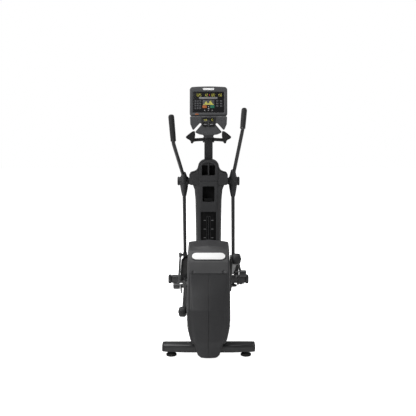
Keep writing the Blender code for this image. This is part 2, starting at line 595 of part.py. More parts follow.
def build_column():
    """The column's covers, head, pocket, scale panel, pivot axle and caps."""
    middle = (COLUMN_Y0 + COLUMN_Y1) / 2
    rear = finish("column_rear_cover", channel(COLUMN_Y0, middle - GAP, 1), **CHARCOAL)
    thicken(rear, WALL, -1)
    front = finish("column_front_cover", channel(COLUMN_Y1, middle + GAP, -1), **CHARCOAL)
    thicken(front, WALL, -1)
    window = rounded(0.0485, 0.843, 0.968, 0.010)
    cut(rear, extruded(window, 0.15, 0.20, "Y"))
    cut(rear, block((-0.0580, 0.15, 0.530), (0.0580, 0.20, 0.7655)))
    pocket = extruded(rounded(0.0475, 0.8440, 0.9670, 0.010), COLUMN_Y0 + 0.0002, 0.232, "Y")
    pocket = finish("bottle_pocket", pocket, **BLACK)
    cut(pocket, extruded(rounded(0.0445, 0.8480, 0.9630, 0.008), 0.16, 0.228, "Y"))
    sill = [(-0.046, 0.846), (0.046, 0.846), (0.036, 0.868), (-0.036, 0.868)]
    join(pocket, extruded(sill, 0.190, 0.230, "Y"))
    panel = block((-0.0575, 0.1860, 0.5305), (0.0575, 0.1900, 0.7650))
    panel = finish("incline_scale_panel", panel, **BLACK)
    for x in (-0.0085, 0.0085):
        cut(panel, block((x - 0.0048, 0.17, 0.545), (x + 0.0048, 0.20, 0.730)))

    outline = [(0.022, 1.168), (0.045, 1.163), (0.065, 1.150), (0.079, 1.130), (0.086, 1.098),
               (0.098, 1.080), (0.120, 1.070), (0.140, 1.066), (0.1487, 1.056), (0.1487, 0.987),
               (0.143, 0.979), (0.1225, 0.975)]
    head = finish("column_head", extruded(mirrored(outline), 0.1900, 0.3600, "Y", 0.006), **CHARCOAL)
    cut(head, block((-0.0345, 0.2395, 0.90), (0.0345, 0.3085, 1.20)),
        rod(-0.17, 0.17, PIVOT_Y, PIVOT_Z, 0.0128, 20))
    for side in (-1, 1):
        low, high = sorted((side * 0.0060, side * 0.0500))
        cut(head, block((low, 0.15, 1.052), (high, 0.232, 1.128), 0.006))
    finish("handle_pivot_axle", rod(-0.2395, 0.2395, PIVOT_Y, PIVOT_Z, 0.0124, 20), **STEEL)
    for name, side in SIDES.items():
        end = rod(side * 0.2305, side * 0.2435, PIVOT_Y, PIVOT_Z, 0.0345, 24, round_by=0.004)
        cap = finish(name + "_pivot_cap", end, **BLACK)
        cut(cap, rod(-0.2399, 0.2399, PIVOT_Y, PIVOT_Z, 0.0127, 20))


def rounded(half_width, z0, z1, radius):
    """A rectangle about X = 0 with round corners, as (x, z) points."""
    x = half_width - radius
    return (arc(x, z1 - radius, radius, 90, 0, 3) + arc(x, z0 + radius, radius, 0, -90, 3)
            + arc(-x, z0 + radius, radius, 270, 180, 3) + arc(-x, z1 - radius, radius, 180, 90, 3))


# ---------------------------------------------------------------- mast and console
def build_console():
    """The mast, console, paddles, hand bar and fixed grips."""
    mast = block((-0.0325, 0.2420, PIVOT_Z + 0.0129), (0.0325, 0.3060, 1.470), 0.005)
    mast = finish("mast", mast, **PAINT)
    cut(mast, rod(-0.05, 0.05, 0.274, 1.3200, 0.0133, 16))
    home = axis_empty("console_tilt", (0, CONSOLE_Y, CONSOLE_Z), -CONSOLE_LEAN)
    w, h = CONSOLE_HALF_WIDTH, CONSOLE_HEIGHT
    bezel = extruded(rounded(w, 0.0, h, 0.014), 0.0, 0.022, "Y", 0.003)
    bezel = finish("console_bezel", bezel, home=home, **CHARCOAL)
    cut(bezel, block((-0.1205, -0.01, 0.027), (0.1205, 0.03, 0.190)))
    back = extruded(rounded(w - 0.004, 0.004, h - 0.004, 0.014), 0.0224, 0.062, "Y", 0.006)
    back = finish("console_back", back, home=home, **BLACK)
    cut(back, extruded(rounded(w - 0.010, 0.010, h - 0.010, 0.010), 0.0, 0.056, "Y"))
    finish("console_glass", block((-0.1200, 0.0040, 0.0275), (0.1200, 0.0070, 0.1895)), home=home, **BLACK)
    # Two wings hang from the console's foot, each split from the tray by a slanting slot that is open below
    outline = [(0.1425, 1.5005), (0.1400, 1.441), (0.1225, 1.4005), (0.1142, 1.3985), (0.0666, 1.4499),
               (0.0576, 1.4480), (0.0536, 1.4408), (0.1010, 1.3852), (0.1000, 1.3780), (0.070, 1.3640),
               (0.0407, 1.3593), (0.0350, 1.3372)]
    lower = finish("console_lower_panel", extruded(mirrored(outline), 0.200, 0.2415, "Y", 0.003), **GREY)
    for side in (-1, 1):
        cut(lower, block((side * 0.023 - 0.0175, 0.18, 1.420), (side * 0.023 + 0.0175, 0.215, 1.462)))
    for name, side in SIDES.items():
        hinge = axis_empty(name + "_paddle_axis", (side * 0.023, 0.2120, 1.441))
        paddle = block((-0.0130, -0.0200, -0.0045), (0.0130, 0.0010, 0.0045), 0.002)
        finish(name + "_console_paddle", paddle, home=hinge, **BLACK)
    finish("hand_bar", pipe([(-0.1010, 0.274, 1.3200), (0.1010, 0.274, 1.3200)], 0.0130), **PAINT)
    pod = [(0.1190, 1.3890), (0.1760, 1.3461), (0.1639, 1.3309), (0.1390, 1.3170), (0.1345, 1.2955),
           (0.1190, 1.2955), (0.1100, 1.3196), (0.1030, 1.3537), (0.1050, 1.3870)]
    for name, side in SIDES.items():
        outline = [(side * x, z) for x, z in pod]
        finish(name + "_fixed_grip", extruded(outline, 0.176, 0.288, "Y", 0.006), **RUBBER)


build_frame()
build_shroud()
build_drive()
build_ramp()
for side_name, side_sign in SIDES.items():
    build_arm(side_name, side_sign)
    build_handle(side_name, side_sign)
build_column()
build_console()
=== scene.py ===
"""Looks of the elliptical trainer: finishes, fine shells, grips, treads and console details around the frame."""
import logging
import math
from dataclasses import dataclass, field
from enum import Enum
from typing import Callable, Iterable, Optional, Sequence

import bmesh
import bpy
from mathutils import Matrix, Vector


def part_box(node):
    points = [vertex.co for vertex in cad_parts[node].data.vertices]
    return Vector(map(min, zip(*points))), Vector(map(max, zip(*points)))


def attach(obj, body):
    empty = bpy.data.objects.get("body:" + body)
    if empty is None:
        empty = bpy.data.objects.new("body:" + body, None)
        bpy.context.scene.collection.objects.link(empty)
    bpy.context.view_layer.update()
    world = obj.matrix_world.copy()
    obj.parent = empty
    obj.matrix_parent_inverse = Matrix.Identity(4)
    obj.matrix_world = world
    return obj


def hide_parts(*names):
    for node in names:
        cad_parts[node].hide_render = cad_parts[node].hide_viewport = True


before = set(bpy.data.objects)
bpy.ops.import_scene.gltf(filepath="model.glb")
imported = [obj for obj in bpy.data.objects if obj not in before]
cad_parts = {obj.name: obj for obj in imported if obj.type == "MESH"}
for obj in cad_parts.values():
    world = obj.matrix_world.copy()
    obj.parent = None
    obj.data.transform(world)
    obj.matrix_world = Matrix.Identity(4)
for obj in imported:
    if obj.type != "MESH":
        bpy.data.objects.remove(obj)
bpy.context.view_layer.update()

LOG = logging.getLogger("trainer")
SIDES: dict[str, int] = {"left": -1, "right": 1}
Point = tuple[float, float, float]


# ------------------------------------------------------------------ shared shader effects
class Effect(Enum):
    """The surface effects that several finishes share, each built once as a node group."""

    GRAIN = "fine_grain"
    HANDLING = "handling_marks"
    BRUSHING = "brushed_lines"
    CELLS = "foam_cells"


def new_group(effect: Effect, inputs: dict[str, float]) -> tuple[bpy.types.NodeTree, dict]:
    """Starts a node group with an object-space vector input and two value outputs.

    Args:
        effect: Which effect the group is for, which gives its name.
        inputs: Names and defaults of its value inputs.

    Returns:
        The group, and its input and output nodes under "in" and "out".
    """
    tree = bpy.data.node_groups.new(effect.value, "ShaderNodeTree")
    tree.interface.new_socket("Vector", in_out="INPUT", socket_type="NodeSocketVector")
    for name, default in inputs.items():
        tree.interface.new_socket(name, in_out="INPUT", socket_type="NodeSocketFloat").default_value = default
    tree.interface.new_socket("Mask", in_out="OUTPUT", socket_type="NodeSocketFloat")
    tree.interface.new_socket("Height", in_out="OUTPUT", socket_type="NodeSocketFloat")
    return tree, {"in": tree.nodes.new("NodeGroupInput"), "out": tree.nodes.new("NodeGroupOutput")}


def noise_node(tree: bpy.types.NodeTree, detail: float, roughness: float = 0.5) -> bpy.types.Node:
    """Adds a noise texture.

    Args:
        tree: The tree that it goes in.
        detail: How many octaves it has.
        roughness: How strong each next octave is.

    Returns:
        The noise node.
    """
    node = tree.nodes.new("ShaderNodeTexNoise")
    node.inputs["Detail"].default_value = detail
    node.inputs["Roughness"].default_value = roughness
    return node


def remap(tree: bpy.types.NodeTree, source: bpy.types.NodeSocket, low: float, high: float,
          to_low: float = 0.0, to_high: float = 1.0) -> bpy.types.NodeSocket:
    """Spreads a value's range from low..high to to_low..to_high, clamped.

    Args:
        tree: The tree that the node goes in.
        source: The value.
        low: Value that gives to_low.
        high: Value that gives to_high.
        to_low: Result at low.
        to_high: Result at high.

    Returns:
        The result's socket.
    """
    node = tree.nodes.new("ShaderNodeMapRange")
    tree.links.new(source, node.inputs["Value"])
    for socket, value in (("From Min", low), ("From Max", high), ("To Min", to_low), ("To Max", to_high)):
        node.inputs[socket].default_value = value
    return node.outputs["Result"]


def grain_group() -> bpy.types.NodeTree:
    """The spark-eroded grain of a moulding: soft pits, and a mask of their shine.

    Returns:
        The group, with a Mask and a Height output.
    """
    tree, ends = new_group(Effect.GRAIN, {"Scale": 900.0})
    noise = noise_node(tree, 2.0, 0.6)
    cells = tree.nodes.new("ShaderNodeTexVoronoi")
    for node in (noise, cells):
        tree.links.new(ends["in"].outputs["Vector"], node.inputs["Vector"])
        tree.links.new(ends["in"].outputs["Scale"], node.inputs["Scale"])
    blend = tree.nodes.new("ShaderNodeMath")
    blend.operation = "MULTIPLY_ADD"
    tree.links.new(cells.outputs["Distance"], blend.inputs[0])
    blend.inputs[1].default_value = 0.6
    tree.links.new(noise.outputs["Fac"], blend.inputs[2])
    tree.links.new(remap(tree, noise.outputs["Fac"], 0.35, 0.65), ends["out"].inputs["Mask"])
    tree.links.new(blend.outputs["Value"], ends["out"].inputs["Height"])
    return tree


def handling_group() -> bpy.types.NodeTree:
    """Broad, faint patches where hands and cloths have polished or dulled the surface, with fine scuffs.

    Returns:
        The group, with a Mask and a Height output.
    """
    tree, ends = new_group(Effect.HANDLING, {"Scale": 6.0})
    patches = noise_node(tree, 4.0, 0.6)
    scuffs = noise_node(tree, 6.0, 0.7)
    stretch = tree.nodes.new("ShaderNodeMapping")
    stretch.inputs["Scale"].default_value = (14.0, 14.0, 90.0)
    tree.links.new(ends["in"].outputs["Vector"], patches.inputs["Vector"])
    tree.links.new(ends["in"].outputs["Scale"], patches.inputs["Scale"])
    tree.links.new(ends["in"].outputs["Vector"], stretch.inputs["Vector"])
    tree.links.new(stretch.outputs["Vector"], scuffs.inputs["Vector"])
    scuffs.inputs["Scale"].default_value = 1.0
    tree.links.new(remap(tree, patches.outputs["Fac"], 0.32, 0.68), ends["out"].inputs["Mask"])
    tree.links.new(remap(tree, scuffs.outputs["Fac"], 0.60, 0.72), ends["out"].inputs["Height"])
    return tree


def brushing_group() -> bpy.types.NodeTree:
    """Fine parallel lines left by grinding and turning.

    Returns:
        The group, with a Mask and a Height output.
    """
    tree, ends = new_group(Effect.BRUSHING, {"Scale": 30.0})
    stretch = tree.nodes.new("ShaderNodeMapping")
    stretch.inputs["Scale"].default_value = (60.0, 2.0, 2.0)
    lines = noise_node(tree, 5.0, 0.65)
    tree.links.new(ends["in"].outputs["Vector"], stretch.inputs["Vector"])
    tree.links.new(stretch.outputs["Vector"], lines.inputs["Vector"])
    tree.links.new(ends["in"].outputs["Scale"], lines.inputs["Scale"])
    tree.links.new(remap(tree, lines.outputs["Fac"], 0.3, 0.7), ends["out"].inputs["Mask"])
    tree.links.new(lines.outputs["Fac"], ends["out"].inputs["Height"])
    return tree


def cells_group() -> bpy.types.NodeTree:
    """The pebbled skin of a foam or rubber sleeve.

    Returns:
        The group, with a Mask and a Height output.
    """
    tree, ends = new_group(Effect.CELLS, {"Scale": 420.0})
    cells = tree.nodes.new("ShaderNodeTexVoronoi")
    cells.feature = "SMOOTH_F1"
    tree.links.new(ends["in"].outputs["Vector"], cells.inputs["Vector"])
    tree.links.new(ends["in"].outputs["Scale"], cells.inputs["Scale"])
    tree.links.new(remap(tree, cells.outputs["Distance"], 0.1, 0.7, 1.0, 0.0), ends["out"].inputs["Mask"])
    tree.links.new(remap(tree, cells.outputs["Distance"], 0.0, 0.8, 1.0, 0.0), ends["out"].inputs["Height"])
    return tree


GROUPS: dict[Effect, bpy.types.NodeTree] = {
    Effect.GRAIN: grain_group(),
    Effect.HANDLING: handling_group(),
    Effect.BRUSHING: brushing_group(),
    Effect.CELLS: cells_group(),
}


# ------------------------------------------------------------------ finishes
@dataclass(frozen=True)
class Finish:
    """A surface: its colours, shine and fine relief, made into one procedural material.

    colour is the body colour and worn the colour of its polished or dusty patches, mixed in by up to wear.
    relief is the effect that gives the fine relief, at relief_scale per metre and relief_depth metres deep.
    """

    name: str
    colour: tuple[float, float, float]
    worn: tuple[float, float, float]
    slot: str
    roughness: float = 0.5
    spread: float = 0.12
    wear: float = 0.5
    metallic: float = 0.0
    coat: float = 0.0
    gloss: float = 0.36
    relief: Effect = Effect.GRAIN
    relief_scale: float = 900.0
    relief_depth: float = 0.00004
    patch_scale: float = 6.0

    def material(self) -> bpy.types.Material:
        """Builds the material once, and gives the same one afterwards.

        Returns:
            The material.
        """
        made = bpy.data.materials.get(self.name)
        if made:
            return made
        made = bpy.data.materials.new(self.name)
        made.use_nodes = True
        tree = made.node_tree
        shader = tree.nodes["Principled BSDF"]
        place = tree.nodes.new("ShaderNodeTexCoord").outputs["Object"]
        patches = self.place_group(tree, place, Effect.HANDLING, self.patch_scale)
        relief = self.place_group(tree, place, self.relief, self.relief_scale)
        amount = remap(tree, patches.outputs["Mask"], 0.0, 1.0, 0.0, self.wear)
        mix = tree.nodes.new("ShaderNodeMix")
        mix.data_type = "RGBA"
        mix.inputs["A"].default_value = (*self.colour, 1.0)
        mix.inputs["B"].default_value = (*self.worn, 1.0)
        tree.links.new(amount, mix.inputs["Factor"])
        tree.links.new(mix.outputs["Result"], shader.inputs["Base Color"])
        shine = tree.nodes.new("ShaderNodeMath")
        shine.operation = "MULTIPLY_ADD"
        tree.links.new(relief.outputs["Mask"], shine.inputs[0])
        shine.inputs[1].default_value = 0.08
        low, high = self.roughness - self.spread / 2, self.roughness + self.spread / 2
        tree.links.new(remap(tree, patches.outputs["Mask"], 0.0, 1.0, high, low), shine.inputs[2])
        tree.links.new(shine.outputs["Value"], shader.inputs["Roughness"])
        bump = tree.nodes.new("ShaderNodeBump")
        bump.inputs["Strength"].default_value = 1.0
        bump.inputs["Distance"].default_value = self.relief_depth
        tree.links.new(relief.outputs["Height"], bump.inputs["Height"])
        tree.links.new(bump.outputs["Normal"], shader.inputs["Normal"])
        shader.inputs["Metallic"].default_value = self.metallic
        shader.inputs["Specular IOR Level"].default_value = self.gloss
        shader.inputs["Coat Weight"].default_value = self.coat
        return made

    @staticmethod
    def place_group(tree: bpy.types.NodeTree, place: bpy.types.NodeSocket, effect: Effect,
                    scale: float) -> bpy.types.Node:
        """Puts a shared effect in a material's tree, at its own scale.

        Args:
            tree: The material's tree.
            place: The coordinates' socket.
            effect: Which effect.
            scale: Its scale, per metre.

        Returns:
            The group node.
        """
        node = tree.nodes.new("ShaderNodeGroup")
        node.node_tree = GROUPS[effect]
        tree.links.new(place, node.inputs["Vector"])
        node.inputs["Scale"].default_value = scale
        return node


@dataclass(frozen=True)
class Glow:
    """A lit segment or symbol behind the console's overlay."""

    name: str
    colour: tuple[float, float, float]
    strength: float

    def material(self) -> bpy.types.Material:
        """Builds the lit material once: a little uneven, as light through printed film is.

        Returns:
            The material.
        """
        made = bpy.data.materials.get(self.name)
        if made:
            return made
        made = bpy.data.materials.new(self.name)
        made.use_nodes = True
        tree = made.node_tree
        shader = tree.nodes["Principled BSDF"]
        place = tree.nodes.new("ShaderNodeTexCoord").outputs["Object"]
        patches = Finish.place_group(tree, place, Effect.HANDLING, 90.0)
        mix = tree.nodes.new("ShaderNodeMix")
        mix.data_type = "RGBA"
        mix.inputs["A"].default_value = (*[0.72 * c for c in self.colour], 1.0)
        mix.inputs["B"].default_value = (*self.colour, 1.0)
        tree.links.new(patches.outputs["Mask"], mix.inputs["Factor"])
        tree.links.new(mix.outputs["Result"], shader.inputs["Base Color"])
        tree.links.new(mix.outputs["Result"], shader.inputs["Emission Color"])
        shader.inputs["Emission Strength"].default_value = self.strength
        shader.inputs["Roughness"].default_value = 0.35
        return made


CHARCOAL = Finish("charcoal_moulding", (0.020, 0.020, 0.0215), (0.032, 0.032, 0.034), "charcoal_plastic", 0.46)
SHELL = Finish("shroud_moulding", (0.0205, 0.0205, 0.0217), (0.0300, 0.0300, 0.0316), "charcoal_plastic", 0.44)
TRIM_GREY = Finish("grey_moulding", (0.050, 0.051, 0.054), (0.070, 0.071, 0.074), "grey_plastic", 0.42)
BLACK = Finish("black_moulding", (0.011, 0.011, 0.012), (0.020, 0.020, 0.021), "black_plastic", 0.48)
# Near-black: painted shade inside the trays, partly painted shade in the black bottle pocket, and the incline scale
# plate's own black.
PLATE_BLACK_AND_CAVITY_SHADE = Finish("black_and_painted_cavity_shade", (0.003, 0.003, 0.0033), (0.005, 0.005, 0.005), "black_plastic", 0.60, gloss=0.12)
# Painted shade: a black sheet inside each slot of the incline scale.
SLOT_SHADE = Finish("painted_slot_shade", (0.0008, 0.0008, 0.0008), (0.0012, 0.0012, 0.0012), "black_plastic", 0.85, gloss=0.0)
PAINT = Finish("powder_coat", (0.013, 0.013, 0.014), (0.024, 0.024, 0.025), "painted_steel", 0.36, 0.10,
               relief_scale=520.0, relief_depth=0.00005, coat=0.15)
PLATE = Finish("painted_plate", (0.018, 0.018, 0.019), (0.045, 0.045, 0.046), "dark_steel", 0.40,
               relief_scale=600.0, relief_depth=0.00005, coat=0.1)
FOAM = Finish("foam_sleeve", (0.008, 0.008, 0.0084), (0.014, 0.014, 0.0147), "grip_foam", 0.66, gloss=0.28,
              relief=Effect.CELLS, relief_scale=520.0, relief_depth=0.00012)
RUBBER = Finish("rubber_moulding", (0.010, 0.010, 0.010), (0.022, 0.021, 0.020), "rubber", 0.78, wear=0.7,
                relief=Effect.CELLS, relief_scale=900.0, relief_depth=0.00006)
STEEL = Finish("turned_steel", (0.50, 0.50, 0.51), (0.36, 0.36, 0.37), "steel", 0.30, metallic=1.0,
               relief=Effect.BRUSHING, relief_scale=30.0, relief_depth=0.00006)
DARK_STEEL = Finish("dark_link_steel", (0.060, 0.060, 0.062), (0.095, 0.095, 0.095), "steel", 0.38, metallic=0.8,
                    relief=Effect.BRUSHING, relief_scale=30.0, relief_depth=0.00005)
OVERLAY = Finish("gloss_overlay", (0.006, 0.006, 0.007), (0.009, 0.009, 0.010), "screen_overlay", 0.16, 0.06,
                 coat=0.6, relief_depth=0.00001)
BADGE = Finish("badge_white", (0.78, 0.78, 0.78), (0.70, 0.70, 0.69), "badge", 0.34, relief_depth=0.00003)
LABEL_GREY = Finish("printed_grey", (0.16, 0.16, 0.165), (0.20, 0.20, 0.20), "screen_overlay", 0.3,
                    relief_depth=0.00001)
AMBER = Glow("lit_amber", (0.55, 0.52, 0.08), 0.55)
SCREEN = Glow("lit_screen", (0.045, 0.045, 0.052), 0.5)
ORANGE = Glow("lit_orange", (0.30, 0.085, 0.02), 0.30)
GREEN = Glow("lit_green", (0.012, 0.11, 0.06), 0.30)
RED = Glow("lit_red", (0.50, 0.02, 0.03), 0.5)
WHITE = Glow("lit_white", (0.34, 0.34, 0.34), 0.2)


# ------------------------------------------------------------------ shaping
def piece_from(bm: bmesh.types.BMesh, name: str, finish: Finish | Glow, body: str,
               replaces: Sequence[str] = (), sharp: float = 32.0, recalc: bool = True) -> bpy.types.Object:
    """Turns a bmesh into a finished piece that rides on a body.

    Args:
        bm: The shape, in place. It is freed.
        name: The piece's name.
        finish: Its finish.
        body: The body that it rides on.
        replaces: CAD nodes that it stands for.
        sharp: Angle in degrees past which an edge is shaded sharp.
        recalc: Whether its normals are recalculated outwards.

    Returns:
        The piece.
    """
    if recalc:
        bmesh.ops.remove_doubles(bm, verts=bm.verts, dist=1e-6)
        bmesh.ops.recalc_face_normals(bm, faces=bm.faces)
    mesh = bpy.data.meshes.new(name)
    bm.to_mesh(mesh)
    bm.free()
    mesh.materials.append(finish.material())
    mesh.shade_smooth()
    mesh.set_sharp_from_angle(angle=math.radians(sharp))
    piece = bpy.data.objects.new(name, mesh)
    bpy.context.scene.collection.objects.link(piece)
    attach(piece, body)
    if replaces:
        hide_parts(*replaces)
    return piece


def bevel(bm: bmesh.types.BMesh, edges: Iterable[bmesh.types.BMEdge], width: float, segments: int = 3) -> None:
    """Rounds edges of a bmesh by width."""
    bmesh.ops.bevel(bm, geom=list(edges), offset=width, offset_type="OFFSET", segments=segments, profile=0.5,
                    affect="EDGES", material=-1, clamp_overlap=True)


def sharp_edges(bm: bmesh.types.BMesh, angle: float = 30.0) -> list[bmesh.types.BMEdge]:
    """The edges whose faces meet at more than angle degrees."""
    limit = math.radians(angle)
    return [e for e in bm.edges if len(e.link_faces) == 2 and e.calc_face_angle(0.0) > limit]


def boxed(low: Sequence[float], high: Sequence[float], round_by: float = 0.0,
          into: Optional[bmesh.types.BMesh] = None, segments: int = 3) -> bmesh.types.BMesh:
    """A box between two corners with rounded edges.

    Args:
        low: Its lowest corner.
        high: Its highest corner.
        round_by: Radius of its edges.
        into: A bmesh to add it to.
        segments: Steps around an edge.

    Returns:
        The bmesh.
    """
    part = bmesh.new()
    bmesh.ops.create_cube(part, size=1)
    low, high = Vector(map(min, low, high)), Vector(map(max, low, high))
    bmesh.ops.scale(part, vec=high - low, verts=part.verts)
    bmesh.ops.translate(part, vec=(high + low) / 2, verts=part.verts)
    if round_by:
        bevel(part, part.edges, round_by, segments)
    return merged(part, into)


def merged(part: bmesh.types.BMesh, into: Optional[bmesh.types.BMesh]) -> bmesh.types.BMesh:
    """Adds a bmesh to another, or gives it back when there is none.

    Args:
        part: The bmesh to add. It is freed if there is another.
        into: The bmesh that takes it.

    Returns:
        The bmesh that holds both.
    """
    if into is None:
        return part
    mesh = bpy.data.meshes.new("part")
    part.to_mesh(mesh)
    part.free()
    into.from_mesh(mesh)
    bpy.data.meshes.remove(mesh)
    return into


def turned_x(profile: Sequence[tuple[float, float]], y: float, z: float, sides: int = 48,
             into: Optional[bmesh.types.BMesh] = None) -> bmesh.types.BMesh:
    """A shape turned about an axis along X.

    Args:
        profile: (x, radius) points from one end to the other.
        y: The axis's Y.
        z: The axis's Z.
        sides: Steps around.
        into: A bmesh to add it to.

    Returns:
        The bmesh.
    """
    part = bmesh.new()
    verts = [part.verts.new((x, 0, r)) for x, r in profile]
    edges = [part.edges.new(pair) for pair in zip(verts, verts[1:])]
    bmesh.ops.spin(part, geom=verts + edges, cent=(0, 0, 0), axis=(1, 0, 0), dvec=(0, 0, 0),
                   angle=2 * math.pi, steps=sides, use_merge=True)
    bmesh.ops.remove_doubles(part, verts=part.verts, dist=1e-6)
    bmesh.ops.translate(part, vec=(0, y, z), verts=part.verts)
    return merged(part, into)


def swept(points: Sequence[Vector], radii: Sequence[float], sides: int = 32) -> bmesh.types.BMesh:
    """A round tube along points, with a radius at each, closed by caps.

    Args:
        points: Where the tube's middle goes.
        radii: The radius at each point.
        sides: Steps around.

    Returns:
        The bmesh.
    """
    bm = bmesh.new()
    bmesh.ops.create_circle(bm, cap_ends=True, radius=1.0, segments=sides)
    ring = list(bm.verts)
    base = [v.co.copy() for v in ring]
    last = len(points) - 1
    for i, (point, radius) in enumerate(zip(points, radii)):
        if i:
            rim = [e for e in bm.edges if e.verts[0] in ring and e.verts[1] in ring]
            grown = bmesh.ops.extrude_edge_only(bm, edges=rim)["geom"]
            new = [v for v in grown if isinstance(v, bmesh.types.BMVert)]
            ring = [min(new, key=lambda v, r=r: (v.co - r.co).length) for r in ring]
        ahead = (points[min(i + 1, last)] - points[max(i - 1, 0)]).normalized()
        turn = ahead.to_track_quat("Z", "Y").to_matrix().to_4x4()
        place = Matrix.Translation(point) @ turn @ Matrix.Scale(radius, 4)
        for vert, start in zip(ring, base):
            vert.co = place @ start
    bmesh.ops.contextual_create(bm, geom=[e for e in bm.edges if e.is_boundary])
    return bm


def plated(outline: Sequence[tuple[float, float]], low: float, high: float, along: str,
           round_by: float = 0.0, segments: int = 3,
           into: Optional[bmesh.types.BMesh] = None) -> bmesh.types.BMesh:
    """A flat outline given thickness along an axis.

    Args:
        outline: (y, z) points for "X", (x, z) for "Y", (x, y) for "Z".
        low: Where the plate starts along the axis.
        high: Where it ends.
        along: The axis.
        round_by: Radius of its sharp edges.
        segments: Steps around an edge.
        into: A bmesh to add it to.

    Returns:
        The bmesh.
    """
    places = {"X": lambda u, v, w: (w, u, v), "Y": lambda u, v, w: (u, w, v), "Z": lambda u, v, w: (u, v, w)}
    place = places[along]
    part = bmesh.new()
    face = part.faces.new([part.verts.new(place(u, v, low)) for u, v in outline])
    grown = bmesh.ops.extrude_face_region(part, geom=[face])["geom"]
    shift = Vector(place(0, 0, high)) - Vector(place(0, 0, low))
    bmesh.ops.translate(part, vec=shift, verts=[g for g in grown if isinstance(g, bmesh.types.BMVert)])
    bmesh.ops.recalc_face_normals(part, faces=part.faces)
    if round_by:
        bevel(part, sharp_edges(part), round_by, segments)
    return merged(part, into)


def arc(cu: float, cv: float, radius: float, start: float, end: float, steps: int) -> list[tuple[float, float]]:
    """Points of an arc from start to end degrees, both included."""
    turns = [math.radians(start + (end - start) * i / steps) for i in range(steps + 1)]
    return [(cu + radius * math.cos(t), cv + radius * math.sin(t)) for t in turns]


def rounded_outline(half: float, v0: float, v1: float, radius: float, steps: int = 6) -> list[tuple[float, float]]:
    """A rectangle about u = 0 with round corners.

    Args:
        half: Half its width.
        v0: Its foot.
        v1: Its top.
        radius: Its corners' radius.
        steps: Steps around a corner.

    Returns:
        Its points, clockwise from the top right corner.
    """
    u = half - radius
    return (arc(u, v1 - radius, radius, 90, 0, steps) + arc(u, v0 + radius, radius, 0, -90, steps)
            + arc(-u, v0 + radius, radius, 270, 180, steps) + arc(-u, v1 - radius, radius, 180, 90, steps))


def refined(node: str, finish: Finish, body: str, round_by: float, segments: int = 3,
            angle: float = 32.0, dissolve: bool = True) -> bpy.types.Object:
    """A CAD solid's fine twin: its facets merged into whole faces and its edges rounded.

    Args:
        node: The CAD node, which the twin replaces.
        finish: The twin's finish.
        body: The body that it rides on.
        round_by: Radius of its edges.
        segments: Steps around an edge.
        angle: Edges sharper than this are rounded.
        dissolve: Whether its flat facets are merged, which a face with a window can't take.

    Returns:
        The piece.
    """
    bm = bmesh.new()
    bm.from_mesh(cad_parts[node].data)
    bmesh.ops.remove_doubles(bm, verts=bm.verts, dist=2e-6)
    if dissolve:
        bmesh.ops.dissolve_limit(bm, angle_limit=math.radians(1.0), verts=bm.verts, edges=bm.edges)
    piece = piece_from(bm, node + "_shell", finish, body, [node], sharp=38.0, recalc=False)
    edge = piece.modifiers.new("rounded_edges", "BEVEL")
    edge.width = round_by
    edge.segments = segments
    edge.limit_method = "ANGLE"
    edge.angle_limit = math.radians(angle)
    edge.miter_outer = "MITER_ARC"
    edge.harden_normals = False
    return piece


def moved(bm: bmesh.types.BMesh, place: Matrix) -> bmesh.types.BMesh:
    """Carries a whole bmesh by a matrix."""
    bmesh.ops.transform(bm, matrix=place, verts=bm.verts)
    return bm


def framed(outer: Sequence[tuple[float, float]], inner: Sequence[tuple[float, float]], low: float, high: float,
           round_by: float, segments: int = 3, inner_round: Optional[float] = None) -> bmesh.types.BMesh:
    """A plate across Y with a window, from two (x, z) loops of the same number of points.

    Args:
        outer: The plate's edge.
        inner: The window's edge.
        low: Y of its near face.
        high: Y of its far face.
        round_by: Radius of its edges.
        segments: Steps around an edge.
        inner_round: Radius of the window's edges, where it differs.

    Returns:
        The bmesh.
    """
    bm = bmesh.new()
    edges = []
    for loop in (outer, inner):
        verts = [bm.verts.new((x, low, z)) for x, z in loop]
        edges += [bm.edges.new(pair) for pair in zip(verts, verts[1:] + verts[:1])]
    faces = bmesh.ops.bridge_loops(bm, edges=edges)["faces"]
    grown = bmesh.ops.extrude_face_region(bm, geom=faces)["geom"]
    bmesh.ops.translate(bm, vec=(0, high - low, 0), verts=[g for g in grown if isinstance(g, bmesh.types.BMVert)])
    bmesh.ops.recalc_face_normals(bm, faces=bm.faces)
    if inner_round is not None:
        rim = {(round(x, 6), round(z, 6)) for x, z in inner}
        inside = [e for e in sharp_edges(bm, 40) if all((round(v.co.x, 6), round(v.co.z, 6)) in rim for v in e.verts)]
        bevel(bm, inside, inner_round, segments)
        bevel(bm, [e for e in sharp_edges(bm, 60)
                   if not any(abs(v.co.x - x) + abs(v.co.z - z) < inner_round * 2.2 for v in e.verts for x, z in rim)],
              round_by, segments)
        return bm
    bevel(bm, sharp_edges(bm, 40), round_by, segments)
    return bm


def even_loop(points: Sequence[tuple[float, float]], count: int) -> list[tuple[float, float]]:
    """Spaces points evenly along a closed loop, clockwise from the one nearest its top middle.

    Args:
        points: The loop's corners.
        count: How many points to give.

    Returns:
        The evenly spaced points.
    """
    ends = [Vector(p) for p in points]
    ends.append(ends[0])
    turning = sum(a.x * b.y - b.x * a.y for a, b in zip(ends, ends[1:]))
    if turning > 0:
        ends.reverse()
    lengths = [0.0]
    for a, b in zip(ends, ends[1:]):
        lengths.append(lengths[-1] + (b - a).length)
    made = []
    for i in range(count):
        at = lengths[-1] * i / count
        k = next(j for j in range(len(ends) - 1) if lengths[j + 1] >= at and lengths[j + 1] > lengths[j])
        made.append(tuple(ends[k].lerp(ends[k + 1], (at - lengths[k]) / (lengths[k + 1] - lengths[k]))))
    start = min(range(count), key=lambda i: (abs(made[i][0]) - made[i][1]))
    return made[start:] + made[:start]


